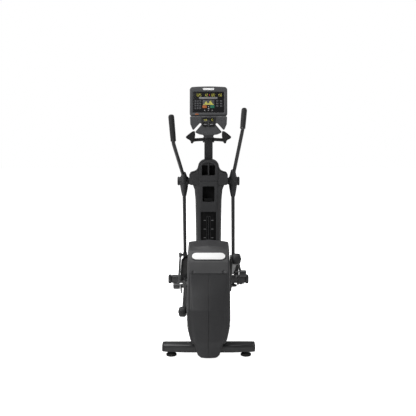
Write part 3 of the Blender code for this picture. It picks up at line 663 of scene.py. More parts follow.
def cup(low: Sequence[float], high: Sequence[float], wall: float, round_by: float) -> bmesh.types.BMesh:
    """A tray with its open side towards -Y.

    Args:
        low: The lowest corner of its outside.
        high: The highest corner.
        wall: Its wall's thickness, inwards.
        round_by: Radius of its corners.

    Returns:
        The bmesh.
    """
    bm = boxed(low, high)
    mouth = min(bm.faces, key=lambda f: f.calc_center_median().y)
    bmesh.ops.delete(bm, geom=[mouth], context="FACES_ONLY")
    inside = [e for e in bm.edges if not e.is_boundary]
    bevel(bm, inside, round_by, 4)
    bmesh.ops.recalc_face_normals(bm, faces=bm.faces)
    centre = (Vector(low) + Vector(high)) / 2
    back = max(bm.faces, key=lambda f: f.calc_area() * (f.calc_center_median().y > centre.y))
    if back.normal.y < 0:
        bmesh.ops.reverse_faces(bm, faces=bm.faces)
    bmesh.ops.solidify(bm, geom=bm.faces, thickness=wall)
    return bm


def draped(columns: Sequence[float], rows: Sequence[float], place: Callable[[float, float], Point],
           wall: float = 0.003) -> bmesh.types.BMesh:
    """A moulded skin: a grid whose points are carried to their place, then given a wall inwards.

    Args:
        columns: The u of each column.
        rows: The v of each row.
        place: Gives the place of a point from its u and v.
        wall: The wall's thickness, away from its outer face.

    Returns:
        The bmesh.
    """
    bm = bmesh.new()
    across, along = len(columns) - 1, len(rows) - 1
    bmesh.ops.create_grid(bm, x_segments=across, y_segments=along, size=0.5)
    for vert in bm.verts:
        u = columns[round((vert.co.x + 0.5) * across)]
        v = rows[round((vert.co.y + 0.5) * along)]
        vert.co = place(u, v)
    bmesh.ops.recalc_face_normals(bm, faces=bm.faces)
    if sum((f.normal.z - f.normal.y) * f.calc_area() for f in bm.faces) < 0:
        bmesh.ops.reverse_faces(bm, faces=bm.faces)
    bmesh.ops.solidify(bm, geom=bm.faces, thickness=wall)
    return bm


def spread(low: float, high: float, count: int, *extra: float) -> list[float]:
    """Evenly spaced numbers from low to high, with extra ones sorted in."""
    return sorted({round(low + (high - low) * i / count, 6) for i in range(count + 1)} | {round(e, 6) for e in extra})


def smooth(low: float, high: float, value: float) -> float:
    """0 below low, 1 above high, and a smooth step between."""
    t = min(1.0, max(0.0, (value - low) / (high - low)))
    return t * t * (3 - 2 * t)


def along_points(points: Sequence[tuple[float, float]], at: float) -> tuple[float, float]:
    """Reads a value from a line through pairs in rising order.

    Args:
        points: The pairs.
        at: The first number to read it at, held inside the pairs' range.

    Returns:
        The second number there, and the slope.
    """
    for (a, va), (b, vb) in zip(points, points[1:]):
        if at <= b:
            break
    slope = (vb - va) / (b - a)
    return va + slope * (min(max(at, points[0][0]), points[-1][0]) - a), slope


def curve_through(points: Sequence[Point], steps: int) -> list[Vector]:
    """Points of a Catmull-Rom curve through the given ones.

    Args:
        points: Where it goes through.
        steps: Steps between two of them.

    Returns:
        The curve's points.
    """
    ends = [Vector(p) for p in (points[0], *points, points[-1])]
    route = []
    for a, b, c, d in zip(ends, ends[1:], ends[2:], ends[3:]):
        for i in range(steps):
            t = i / steps
            route.append(0.5 * (2 * b + (c - a) * t + (2 * a - 5 * b + 4 * c - d) * t * t
                                + (3 * b - 3 * c + d - a) * t ** 3))
    return route + [ends[-1]]


def middle_of(node: str) -> Vector:
    """The middle of a CAD node's box at rest."""
    low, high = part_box(node)
    return (Vector(low) + Vector(high)) / 2


def bolt(x: float, y: float, z: float, radius: float, side: int,
         into: Optional[bmesh.types.BMesh] = None) -> bmesh.types.BMesh:
    """A socket-headed bolt that faces outwards along X.

    Args:
        x: Where its head's underside is.
        y: Its middle's Y.
        z: Its middle's Z.
        radius: The head's radius.
        side: -1 if it faces -X, 1 if it faces +X.
        into: A bmesh to add it to.

    Returns:
        The bmesh.
    """
    head = radius * 0.55
    profile = [(x, 0.0), (x, radius), (x + side * head * 0.75, radius), (x + side * head, radius * 0.86),
               (x + side * head, radius * 0.52), (x + side * head * 0.35, radius * 0.46), (x + side * head * 0.35, 0.0)]
    return turned_x(profile, y, z, 24, into)


def turned_z(profile: Sequence[tuple[float, float]], x: float, y: float, sides: int = 48) -> bmesh.types.BMesh:
    """A shape turned about an upright axis at x and y, from (radius, z) points.

    Args:
        profile: Its points, from one end to the other.
        x: The axis's X.
        y: The axis's Y.
        sides: Steps around.

    Returns:
        The bmesh.
    """
    bm = bmesh.new()
    verts = [bm.verts.new((r, 0, z)) for r, z in profile]
    edges = [bm.edges.new(pair) for pair in zip(verts, verts[1:])]
    bmesh.ops.spin(bm, geom=verts + edges, cent=(0, 0, 0), axis=(0, 0, 1), dvec=(0, 0, 0),
                   angle=2 * math.pi, steps=sides, use_merge=True)
    bmesh.ops.remove_doubles(bm, verts=bm.verts, dist=1e-6)
    return moved(bm, Matrix.Translation((x, y, 0)))


# ------------------------------------------------------------------ base
@dataclass
class Base:
    """The welded spine with its two stabilizers, feet and transport wheels."""

    cap_length: float = 0.026
    cap_swell: float = 0.0007
    pad_radius: float = 0.0335
    lock_nut_radius: float = 0.011

    def build(self) -> None:
        """Builds and dresses the whole base."""
        refined("main_frame", PAINT, "frame", 0.0025)
        refined("rear_stabilizer", PAINT, "frame", 0.003)
        refined("front_stabilizer", PAINT, "frame", 0.002, 2)
        for name, side in SIDES.items():
            self.end_cap(name, side)
            self.foot(name)
            self.wheel(name, side)
        LOG.info("base done")

    def end_cap(self, name: str, side: int) -> None:
        """Closes one end of the rear stabilizer with a moulded cap that laps over the tube.

        Args:
            name: The side's name.
            side: -1 for left, 1 for right.
        """
        low, high = (Vector(v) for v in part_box("rear_stabilizer"))
        swell = self.cap_swell
        y0, y1, z0, z1 = low.y + 0.012 - swell, high.y + swell, low.z - swell, high.z + swell
        outline = [(y1 - 0.012, z0), (y0 + 0.014, z0), (y0, z0 + 0.014), (y0, z1 - 0.014), (y0 + 0.014, z1),
                   (y1 - 0.014, z1), (y1, z1 - 0.012), (y1, z0 + 0.012)]
        bm = plated(outline, side * (high.x - self.cap_length), side * (high.x + 0.003), "X", 0.0075, 4)
        piece_from(bm, name + "_rear_cap", BLACK, "frame")

    def foot(self, name: str) -> None:
        """Turns a levelling foot: a soft pad with grooves, its stem and its lock nut.

        Args:
            name: The side's name.
        """
        low, high = (Vector(v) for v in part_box(name + "_rear_foot"))
        middle = (low + high) / 2
        r = self.pad_radius
        profile = [(0.0, 0.0), (r - 0.002, 0.0), (r, 0.002), (r, 0.0045), (r - 0.0015, 0.0055), (r, 0.0065),
                   (r, 0.0105), (r - 0.004, 0.0135), (0.014, 0.0185), (self.lock_nut_radius, 0.020),
                   (self.lock_nut_radius, high.z), (0.0, high.z)]
        bm = turned_z(profile, middle.x, middle.y)
        piece_from(bm, name + "_rear_foot_pad", RUBBER, "frame", [name + "_rear_foot"])

    def wheel(self, name: str, side: int) -> None:
        """Turns a transport wheel with a tread, a rim and a hub.

        Args:
            name: The side's name.
            side: -1 for left, 1 for right.
        """
        low, high = (Vector(v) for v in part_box(name + "_transport_wheel"))
        middle, r = (low + high) / 2, (high.z - low.z) / 2
        inner, outer = middle.x - side * 0.015, middle.x + side * 0.015
        profile = [(inner, 0.0054), (inner, 0.012), (inner + side * 0.003, 0.014), (inner + side * 0.003, r - 0.009),
                   (inner, r - 0.006), (inner + side * 0.002, r - 0.001), (inner + side * 0.005, r),
                   (outer - side * 0.005, r), (outer - side * 0.002, r - 0.001), (outer, r - 0.006),
                   (outer - side * 0.003, r - 0.009), (outer - side * 0.003, 0.014), (outer, 0.012),
                   (outer, 0.0054), (inner, 0.0054)]
        bm = turned_x(profile, middle.y, middle.z)
        piece_from(bm, name + "_wheel_tyre", RUBBER, name + "_wheel", [name + "_transport_wheel"])


# ------------------------------------------------------------------ rear shroud
@dataclass
class RearShroud:
    """The moulded shroud over the drive: two side covers, a rear cover and a top cover with a blank badge."""

    half: float = 0.1183
    shield: list[tuple[float, float]] = field(default_factory=lambda: [
        (0.010, 0.048), (0.022, 0.058), (0.107, 0.0800), (0.230, 0.0960), (0.380, 0.1080), (0.515, 0.1150)])
    rear_face: list[tuple[float, float]] = field(default_factory=lambda: [
        (0.010, -0.952), (0.110, -0.946), (0.300, -0.906), (0.508, -0.803)])
    top_face: list[tuple[float, float]] = field(default_factory=lambda: [
        (-0.8008, 0.5098), (-0.735, 0.572), (-0.655, 0.625), (-0.610, 0.641), (-0.520, 0.653), (-0.455, 0.653)])
    shield_rise: float = 0.009
    belly: float = 0.012
    seam_depth: float = 0.0022
    crown: float = 0.004
    ridge: float = 0.007
    crease: float = 0.003
    keel: list[tuple[float, float]] = field(default_factory=lambda: [
        (0.010, 0.055), (0.022, 0.068), (0.085, 0.0880), (0.120, 0.1010), (0.170, 0.1120), (0.230, 0.1167),
        (0.300, 0.1183), (0.520, 0.1183)])
    relief_points: int = 90
    fold: list[tuple[float, float]] = field(default_factory=lambda: [
        (-0.8085, 0.4920), (-0.8055, 0.4985), (-0.7965, 0.5075), (-0.7905, 0.5135), (-0.7880, 0.5105),
        (-0.7900, 0.4920)])
    fold_half: float = 0.1130
    side_screws: tuple[tuple[float, float], ...] = ((-0.430, 0.190), (-0.430, 0.610), (-0.640, 0.612), (-0.838, 0.130))
    screw_x: float = 0.0975
    screw_y: float = -0.7925
    screw_tilt: float = math.radians(43.5)
    dish: tuple[float, float, float] = (0.009, 0.008, 0.0035)
    front_turn: tuple[float, float] = (-0.455, 0.060)

    def build(self) -> None:
        """Builds and dresses the whole shroud."""
        for name, side in SIDES.items():
            self.side_cover(name)
            self.side_details(name, side)
        self.rear_cover()
        self.top_cover()
        self.flashing()
        self.badge()
        self.screws()
        LOG.info("rear shroud done")

    def side_cover(self, name: str) -> None:
        """Refines a side cover and draws its lower rear corner in, level by level.

        Args:
            name: The side's name.
        """
        cover = refined(name + "_side_cover", SHELL, "frame", 0.0010, 2, 42.0)
        bm = bmesh.new()
        bm.from_mesh(cover.data)
        for z in spread(0.10, 0.32, 11):
            bmesh.ops.bisect_plane(bm, geom=bm.verts[:] + bm.edges[:] + bm.faces[:], plane_co=(0, 0, z),
                                   plane_no=(0, 0, 1), dist=1e-6)
        for y in spread(-0.90, -0.74, 4):
            bmesh.ops.bisect_plane(bm, geom=bm.verts[:] + bm.edges[:] + bm.faces[:], plane_co=(0, y, 0),
                                   plane_no=(0, 1, 0), dist=1e-6)
        for vert in bm.verts:
            narrow = along_points(self.keel, vert.co.z)[0] / self.half
            vert.co.x *= 1 - (1 - narrow) * (1 - smooth(-0.90, -0.74, vert.co.y))
        bm.to_mesh(cover.data)
        bm.free()

    def side_details(self, name: str, side: int) -> None:
        """Adds a side cover's crank ring, its long relief panel and its screws.

        Args:
            name: The side's name.
            side: -1 for left, 1 for right.
        """
        shaft = middle_of("crank_shaft")
        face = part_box(name + "_side_cover")[0 if side < 0 else 1][0]
        ring = [(face - side * 0.0015, 0.0215), (face + side * 0.0010, 0.0215), (face + side * 0.0022, 0.0230),
                (face + side * 0.0022, 0.0330), (face + side * 0.0008, 0.0350), (face - side * 0.0015, 0.0350),
                (face - side * 0.0015, 0.0215)]
        piece_from(turned_x(ring, shaft.y, shaft.z, 56), name + "_crank_ring", BLACK, "frame")
        outer = even_loop(self.relief_outline(0.0), self.relief_points)
        inner = even_loop(self.relief_outline(0.0045), self.relief_points)
        line = framed(outer, inner, 0.0, 0.0018, 0.0006, 2)
        turn = Matrix(((0, -side, 0, face + side * 0.0009), (1, 0, 0, 0), (0, 0, 1, 0), (0, 0, 0, 1)))
        piece_from(moved(line, turn), name + "_relief_line", BLACK, "frame", sharp=50.0)
        screws = bmesh.new()
        for y, z in self.side_screws:
            bolt(face - side * 0.0010, y, z, 0.0048, side, screws)
        piece_from(screws, name + "_side_screws", DARK_STEEL, "frame")

    @staticmethod
    def relief_outline(inset: float) -> list[tuple[float, float]]:
        """The outline of a side cover's relief panel.

        Args:
            inset: How far it is drawn in.

        Returns:
            Its (y, z) corners.
        """
        corners = [(-0.890, 0.165), (-0.872, 0.300), (-0.780, 0.480), (-0.700, 0.555), (-0.610, 0.596),
                   (-0.470, 0.606), (-0.448, 0.585), (-0.448, 0.200), (-0.470, 0.178)]
        middle = Vector((-0.62, 0.36))
        return [tuple(c + (middle - c).normalized() * inset) for c in map(Vector, corners)]

    def rear_cover(self) -> None:
        """Moulds the rear cover: a raised shield, hollowed flanks and a centre seam."""
        profile = self.rear_face

        def place(u: float, v: float) -> Point:
            """Where the cover's skin is.

            Args:
                u: The x across it, before the keel narrows it.
                v: The height.

            Returns:
                The point.
            """
            y = along_points(profile, v)[0]
            u *= along_points(self.keel, v)[0] / self.half
            edge = along_points(self.shield, v)[0]
            width = along_points(self.keel, v)[0]
            proud = self.shield_rise * (1 - smooth(0.16, 0.46, v)) + 0.0015
            fall = min(1.0, max(0.0, (abs(u) - edge) / max(0.002, width - edge)))
            y -= proud * (1 - fall) ** 1.6 + self.belly * (1 - (u / width) ** 2) * (1 - smooth(0.36, 0.506, v))
            y += self.seam_depth * (1 - smooth(0.0005, 0.0022, abs(u)))
            return (u, y - 0.0004, v)

        columns = spread(-self.half, self.half, 72, -0.0022, -0.0012, -0.0005, 0.0005, 0.0012, 0.0022)
        rows = spread(0.0105, 0.507, 84)
        bm = draped(columns, rows, place)
        piece_from(bm, "rear_cover_skin", SHELL, "frame", ["lower_rear_cover"], 50.0)

    def top_height(self, x: float, y: float) -> float:
        """Height of the top cover's skin: crowned across, with a crease along its middle.

        Args:
            x: The place across it.
            y: The place along it.

        Returns:
            The height.
        """
        z = along_points(self.top_face, y)[0]
        lift = smooth(-0.655, -0.600, y)
        z += self.crown * lift * (1 - (x / self.half) ** 2)
        z += self.crease * smooth(-0.700, -0.655, y) * (1 - smooth(-0.655, -0.610, y))
        return z + self.ridge * smooth(-0.650, -0.600, y) * (1 - abs(x) / self.half)

    def top_cover(self) -> None:
        """Moulds the top cover down over its front edge."""

        def place(u: float, v: float) -> Point:
            """Where the skin is.

            Args:
                u: The x across it.
                v: The way along it: the y from back to front, then on down the front.

            Returns:
                The point.
            """
            start, run = self.front_turn
            if v <= start:
                dish = self.dish[2] * max(0.0, 1 - self.screw_reach(u, v)) ** 0.5
                return (u, v + dish * 0.6, self.top_height(u, v) - dish)
            if v < start + run:
                bend = min(1.0, (v - start) / run) * math.pi / 2
                drop = self.top_height(u, start) - 0.045
                return (u, start + 0.0497 * math.sin(bend), drop + 0.045 * math.cos(bend))
            return (u, -0.4053, 0.608 - (v - start - run))

        columns = spread(-self.half, self.half, 90)
        rows = spread(-0.8008, -0.755, 24) + spread(-0.752, -0.455, 60) + spread(-0.449, -0.395, 9) \
            + spread(-0.385, 0.0425, 12)
        bm = draped(columns, rows, place)
        piece_from(bm, "top_cover_skin", SHELL, "frame", ["upper_rear_cover"], 50.0)

    def flashing(self) -> None:
        """Closes the seam between the rear and top covers from inside, with a folded strip."""
        bm = plated(self.fold, -self.fold_half, self.fold_half, "X", 0.0005)
        piece_from(bm, "seam_flashing", BLACK, "frame", sharp=50.0)

    def screw_reach(self, x: float, y: float) -> float:
        """How far a point of the top cover is from its nearest screw: 1 at the dish's rim, squared."""
        return ((abs(x) - self.screw_x) / self.dish[0]) ** 2 + ((y - self.screw_y) / self.dish[1]) ** 2

    def slope_place(self) -> Matrix:
        """The badge's frame.

        Returns:
            The place of its middle on the rear slope, turned flat to the slope.
        """
        (y0, z0), (y1, z1) = self.top_face[1:3]
        slope = math.atan2(z1 - z0, y1 - y0)
        low, high = (Vector(v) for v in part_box("cover_badge"))
        middle = (low + high) / 2
        return Matrix.Translation((0, middle.y, middle.z)) @ Matrix.Rotation(slope, 4, "X")

    def badge(self) -> None:
        """Builds the blank stadium badge in its dark surround."""
        place = self.slope_place()
        for name, grow, low, high, finish, nodes in (
                ("badge_surround", 0.0055, -0.0045, 0.0016, BLACK, []),
                ("badge_plate", 0.0, -0.002, 0.0034, BADGE, ["cover_badge"])):
            r = 0.0300 + grow
            outline = arc(0.0785, 0, r, 90, -90, 16) + arc(-0.0785, 0, r, 270, 90, 16)
            bm = moved(plated(outline, low, high, "Z", 0.0012), place)
            piece_from(bm, name, finish, "frame", nodes)

    def screws(self) -> None:
        """Sets the two pan-head screws in their dishes."""
        for name, side in SIDES.items():
            z = self.top_height(side * self.screw_x, self.screw_y)
            profile = [(0.0, -0.006), (0.0042, -0.006), (0.0042, -0.0015), (0.0034, -0.0004), (0.0016, 0.0),
                       (0.0012, -0.0012), (0.0, -0.0012)]
            bm = turned_z(profile, 0, 0, 24)
            tilt = Matrix.Translation((side * self.screw_x, self.screw_y + 0.001, z - 0.001))
            moved(bm, tilt @ Matrix.Rotation(self.screw_tilt, 4, "X"))
            piece_from(bm, name + "_cover_screw", DARK_STEEL, "frame")


# ------------------------------------------------------------------ drive and ramp
class DrivePart(Enum):
    """Drive pieces that keep their machined shape, with their finish, body and edge radius."""

    BEARING = ("crank_bearing", STEEL, "frame", 0.0008)
    MAGNET = ("resistance_magnet", PLATE, "frame", 0.0012)
    MOTOR = ("lift_motor", BLACK, "frame", 0.002)
    BELT = ("drive_belt", RUBBER, "frame", 0.0006)
    SHAFT = ("crank_shaft", STEEL, "crankset", 0.0010)
    PULLEY = ("drive_pulley", BLACK, "crankset", 0.0010)
    FLYWHEEL = ("flywheel", STEEL, "flywheel_set", 0.0012)
    RAMP = ("ramp", PAINT, "ramp_frame", 0.0020)


@dataclass
class Drive:
    """Crankset, belt, flywheel, brake and the inclining ramp."""

    bolt_radius: float = 0.0085

    def build(self) -> None:
        """Dresses every drive piece and bolts the crank arms on."""
        for part in DrivePart:
            refined(part.value[0], part.value[1], part.value[2], part.value[3])
        for name, side in SIDES.items():
            refined(name + "_crank_arm", PAINT, "crankset", 0.0022)
            shaft = middle_of("crank_shaft")
            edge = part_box(name + "_crank_arm")[0 if side < 0 else 1][0]
            bm = bolt(edge - side * 0.0004, shaft.y, shaft.z, self.bolt_radius, side)
            piece_from(bm, name + "_crank_bolt", DARK_STEEL, "crankset")
        self.motor_fins()
        LOG.info("drive and ramp done")

    def motor_fins(self) -> None:
        """Adds cooling fins to the lift motor's two sides."""
        low, high = (Vector(v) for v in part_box("lift_motor"))
        fins = bmesh.new()
        for i in range(9):
            y = 0.452 + i * 0.0095
            for side in (-1, 1):
                boxed((side * 0.0392, y - 0.0016, low.z + 0.008), (side * 0.0430, y + 0.0016, low.z + 0.042), 0.0007,
                      fins, 2)
        piece_from(fins, "motor_fins", BLACK, "frame")


# ------------------------------------------------------------------ pedal arms
@dataclass
class PedalArm:
    """One side's pedal arm with its crank joint, pedal, tread, roller and axle."""

    name: str
    side: int
    slope: float
    length: float = 0.795
    tread: float = 0.045
    pad_back: float = -0.328
    rib_step: float = 0.0125
    rib_count: int = 19
    rib_width: float = 0.0055
    pin: tuple[float, float] = (0.405, 0.026)

    @property
    def body(self) -> str:
        """The body that the arm's pieces ride on."""
        return self.name + "_arm"

    @property
    def place(self) -> Matrix:
        """The arm's own frame: at the roller's axle, along the arm."""
        axle = middle_of(self.name + "_roller")
        return Matrix.Translation((0, axle.y, axle.z)) @ Matrix.Rotation(self.slope, 4, "X")

    def build(self) -> None:
        """Builds and dresses the arm."""
        refined(self.name + "_pedal_arm", PAINT, self.body, 0.0018)
        self.joint()
        refined(self.name + "_pedal", BLACK, self.body, 0.0022)
        refined(self.name + "_pedal_pad", RUBBER, self.body, 0.0008)
        refined(self.name + "_roller_axle", DARK_STEEL, self.name + "_carriage", 0.0008)
        self.treads()
        self.tab()
        self.joint_cap()
        self.roller()
        LOG.info("%s pedal arm done", self.name)

    def treads(self) -> None:
        """Lays raised cross ribs over the pedal's pad."""
        bm = bmesh.new()
        top = self.tread + 0.0049
        for i in range(self.rib_count):
            y = self.pad_back + 0.010 + i * self.rib_step
            inner = 0.120 if y < -0.100 else 0.120 + (y + 0.100) * 0.35
            outer = 0.200 if y < -0.140 else 0.200 - (y + 0.140) * 0.45
            low = (self.side * inner, y - self.rib_width / 2, top - 0.001)
            high = (self.side * outer, y + self.rib_width / 2, top + 0.0016)
            boxed(low, high, 0.0007, bm, 2)
        piece_from(moved(bm, self.place), self.name + "_pedal_ribs", RUBBER, self.body)

    def tab(self) -> None:
        """Thickens the tapered tab that hangs below the link's pin, clear of the link."""
        pin = Vector((self.pin[0] - self.length, -self.pin[1]))
        aim = Vector((0.39, -0.92))
        turn = math.degrees(math.atan2(aim.y, aim.x))
        near, far = pin + aim * 0.034, pin + aim * 0.075
        outline = arc(near.x, near.y, 0.0145, turn + 90, turn + 270, 8)
        outline += arc(far.x, far.y, 0.010, turn - 90, turn + 90, 8)
        bm = plated(outline, self.side * 0.2042, self.side * 0.2156, "X", 0.0025)
        piece_from(moved(bm, self.place), self.name + "_pin_tab", PLATE, self.body, sharp=50.0)

    def joint(self) -> None:
        """Turns the crank joint's housing as a rounded barrel with a waist at its inner end."""
        profile = [(0.1565, 0.0), (0.1565, 0.0120), (0.1580, 0.0125), (0.1582, 0.0260), (0.1600, 0.0300),
                   (0.1640, 0.0340), (0.1700, 0.0362), (0.1780, 0.0370), (0.1900, 0.0370), (0.1980, 0.0360),
                   (0.2040, 0.0338), (0.2085, 0.0300), (0.2100, 0.0255), (0.2100, 0.0)]
        bm = turned_x([(self.side * x, r) for x, r in profile], -self.length, 0, 64)
        piece_from(moved(bm, self.place), self.name + "_joint_housing", BLACK, self.body,
                   [self.name + "_crank_joint"], 50.0)

    def joint_cap(self) -> None:
        """Caps the crank joint's outer end, with its bolt."""
        high = 0.2100
        profile = [(0.2060, 0.0), (0.2060, 0.0240), (high, 0.0245), (high + 0.0018, 0.0225), (high + 0.0020, 0.0165),
                   (high + 0.0008, 0.0150), (high + 0.0008, 0.0)]
        bm = turned_x([(self.side * x, r) for x, r in profile], -self.length, 0)
        piece_from(moved(bm, self.place), self.name + "_joint_cap", TRIM_GREY, self.body)
        bm = bolt(self.side * 0.2106, -self.length, 0, 0.0095, self.side)
        piece_from(moved(bm, self.place), self.name + "_joint_bolt", DARK_STEEL, self.body)

    def roller(self) -> None:
        """Turns the roller: a crowned tyre on a hub with sealed sides."""
        low, high = (Vector(v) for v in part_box(self.name + "_roller"))
        inner, outer = (low.x, high.x)
        middle, r = (low + high) / 2, (high.z - low.z) / 2
        profile = [(inner, 0.0087), (inner, 0.0150), (inner + 0.002, 0.0165), (inner + 0.002, 0.0240),
                   (inner, 0.0255), (inner + 0.0005, r - 0.004), (inner + 0.004, r - 0.0004), (middle.x, r),
                   (outer - 0.004, r - 0.0004), (outer - 0.0005, r - 0.004), (outer, 0.0255),
                   (outer - 0.002, 0.0240), (outer - 0.002, 0.0165), (outer, 0.0150), (outer, 0.0087),
                   (inner, 0.0087)]
        bm = turned_x(profile, middle.y, middle.z, 64)
        piece_from(bm, self.name + "_roller_tyre", RUBBER, self.name + "_roller_wheel", [self.name + "_roller"])


# ------------------------------------------------------------------ moving handlebars
@dataclass
class Handlebar:
    """One side's moving handlebar: housing, lower tube, upper tube, grip, link and pivot cap."""

    name: str
    side: int
    swing: float
    x: float = 0.192
    tube: float = 0.01375
    lower: float = 0.635
    upper_lean: float = math.radians(32)
    upper_length: float = 0.424
    grip_lean: float = math.radians(31.8)
    grip_length: float = 0.226
    grip_x: tuple[float, float] = (0.2575, 0.2787)

    @property
    def body(self) -> str:
        """The body that the handlebar's pieces ride on."""
        return self.name + "_handle"

    @property
    def place(self) -> Matrix:
        """The handlebar's own frame: at its pivot, along its lower tube."""
        pivot = middle_of("handle_pivot_axle")
        return Matrix.Translation((0, pivot.y, pivot.z)) @ Matrix.Rotation(self.swing, 4, "X")

    def lean(self, angle: float, length: float) -> Vector:
        """A run of some length that leans by angle from upright."""
        return Vector((0, -length * math.sin(angle), length * math.cos(angle)))

    def build(self) -> None:
        """Builds and dresses the handlebar."""
        self.lower_tube()
        self.housing()
        self.upper_tube()
        self.grip()
        self.pivot_cap()
        refined(self.name + "_link", DARK_STEEL, self.name + "_link_bar", 0.0022)
        LOG.info("%s handlebar done", self.name)

    def lower_tube(self) -> None:
        """Builds the lower tube with its bottom knuckle and pin."""
        s, x = self.side, self.x
        bm = swept([Vector((s * x, 0, z)) for z in (-self.lower, -0.30, -0.02)], [self.tube] * 3, 40)
        turned_x([(s * p, r) for p, r in ((0.1745, 0.0), (0.1745, 0.0175), (0.1760, 0.0195), (0.2070, 0.0195),
                                          (0.2085, 0.0175), (0.2085, 0.010), (0.2180, 0.010), (0.2187, 0.0093),
                                          (0.2187, 0.0))], 0, -self.lower, 40, bm)
        piece_from(moved(bm, self.place), self.name + "_lower_tube", PAINT, self.body)

    def housing(self) -> None:
        """Moulds the spindle-shaped housing around the pivot."""
        s, x = self.side, self.x
        down = [(-0.124, 0.0148), (-0.121, 0.0172), (-0.100, 0.0215), (-0.075, 0.0262), (-0.048, 0.0303),
                (-0.022, 0.0328), (0.0, 0.0335)]
        up = [(0.0, 0.0335), (0.020, 0.0322), (0.040, 0.0288), (0.060, 0.0242), (0.080, 0.0200), (0.092, 0.0182),
              (0.0945, 0.0150)]
        bm = swept([Vector((s * x, 0, z)) for z, _ in down], [r for _, r in down], 48)
        rise = [Vector((s * x, 0, 0)) + self.lean(self.upper_lean, z) for z, _ in up]
        merged(swept(rise, [r for _, r in up], 48), bm)
        hub = [(0.1490, 0.0130), (0.1490, 0.0255), (0.1500, 0.0265), (0.1570, 0.0265), (0.1590, 0.0320),
               (0.1620, 0.0345), (0.2230, 0.0345), (0.2285, 0.0325), (0.2300, 0.0300), (0.2300, 0.0130),
               (0.1490, 0.0130)]
        turned_x([(s * p, r) for p, r in hub], 0, 0, 56, bm)
        piece_from(moved(bm, self.place), self.name + "_pivot_housing", CHARCOAL, self.body,
                   [self.name + "_handle_lower"], 40.0)

    def turn_point(self) -> Vector:
        """Where the upper tube turns into the grip, in the handlebar's frame."""
        return self.lean(self.upper_lean, self.upper_length) + Vector((self.side * self.grip_x[0], 0, 0))

    def tip(self) -> Vector:
        """The grip's end, in the handlebar's frame."""
        across = self.side * (self.grip_x[1] - self.grip_x[0])
        return self.turn_point() + self.lean(-self.grip_lean, self.grip_length) + Vector((across, 0, 0))

    def upper_tube(self) -> None:
        """Bends the upper tube from its socket to the grip."""
        turn, tip = self.turn_point(), self.tip()
        first = Vector((self.side * self.x, 0, 0)) + self.lean(self.upper_lean, 0.0395)
        run = turn - first
        route = curve_through([first, first + run * 0.5, first + run * 0.9, turn + (tip - turn) * 0.03,
                               turn + (tip - turn) * 0.16], 8)
        bm = swept(route, [self.tube] * len(route), 40)
        piece_from(moved(bm, self.place), self.name + "_upper_tube", PAINT, self.body, [self.name + "_handle_upper"])

    def grip(self) -> None:
        """Moulds the foam grip: a bead at its foot, a swelling palm and a domed end."""
        turn, tip = self.turn_point(), self.tip()
        run = tip - turn
        shape = [(0.095, 0.0150), (0.100, 0.0188), (0.110, 0.0206), (0.125, 0.0206), (0.132, 0.0196),
                 (0.150, 0.0200), (0.30, 0.0210), (0.50, 0.0216), (0.75, 0.0220), (0.90, 0.0221), (0.945, 0.0216),
                 (0.972, 0.0195), (0.990, 0.0150), (0.998, 0.0085), (1.0, 0.0030)]
        bm = swept([turn + run * t for t, _ in shape], [r for _, r in shape], 48)
        piece_from(moved(bm, self.place), self.name + "_foam_grip", FOAM, self.body, [self.name + "_grip"], 60.0)

    def pivot_cap(self) -> None:
        """Turns the dished cap over the pivot's outer end."""
        s = self.side
        pivot = middle_of("handle_pivot_axle")
        profile = [(0.2305, 0.0130), (0.2305, 0.0335), (0.2315, 0.0345), (0.2385, 0.0345), (0.2420, 0.0325),
                   (0.2435, 0.0290), (0.2435, 0.0180), (0.2422, 0.0165), (0.2422, 0.0)]
        profile += [(0.2400, 0.0), (0.2400, 0.0130), (0.2305, 0.0130)]
        bm = turned_x([(s * p, r) for p, r in profile], pivot.y, pivot.z, 56)
        piece_from(bm, self.name + "_pivot_end_cap", BLACK, "frame", [self.name + "_pivot_cap"])


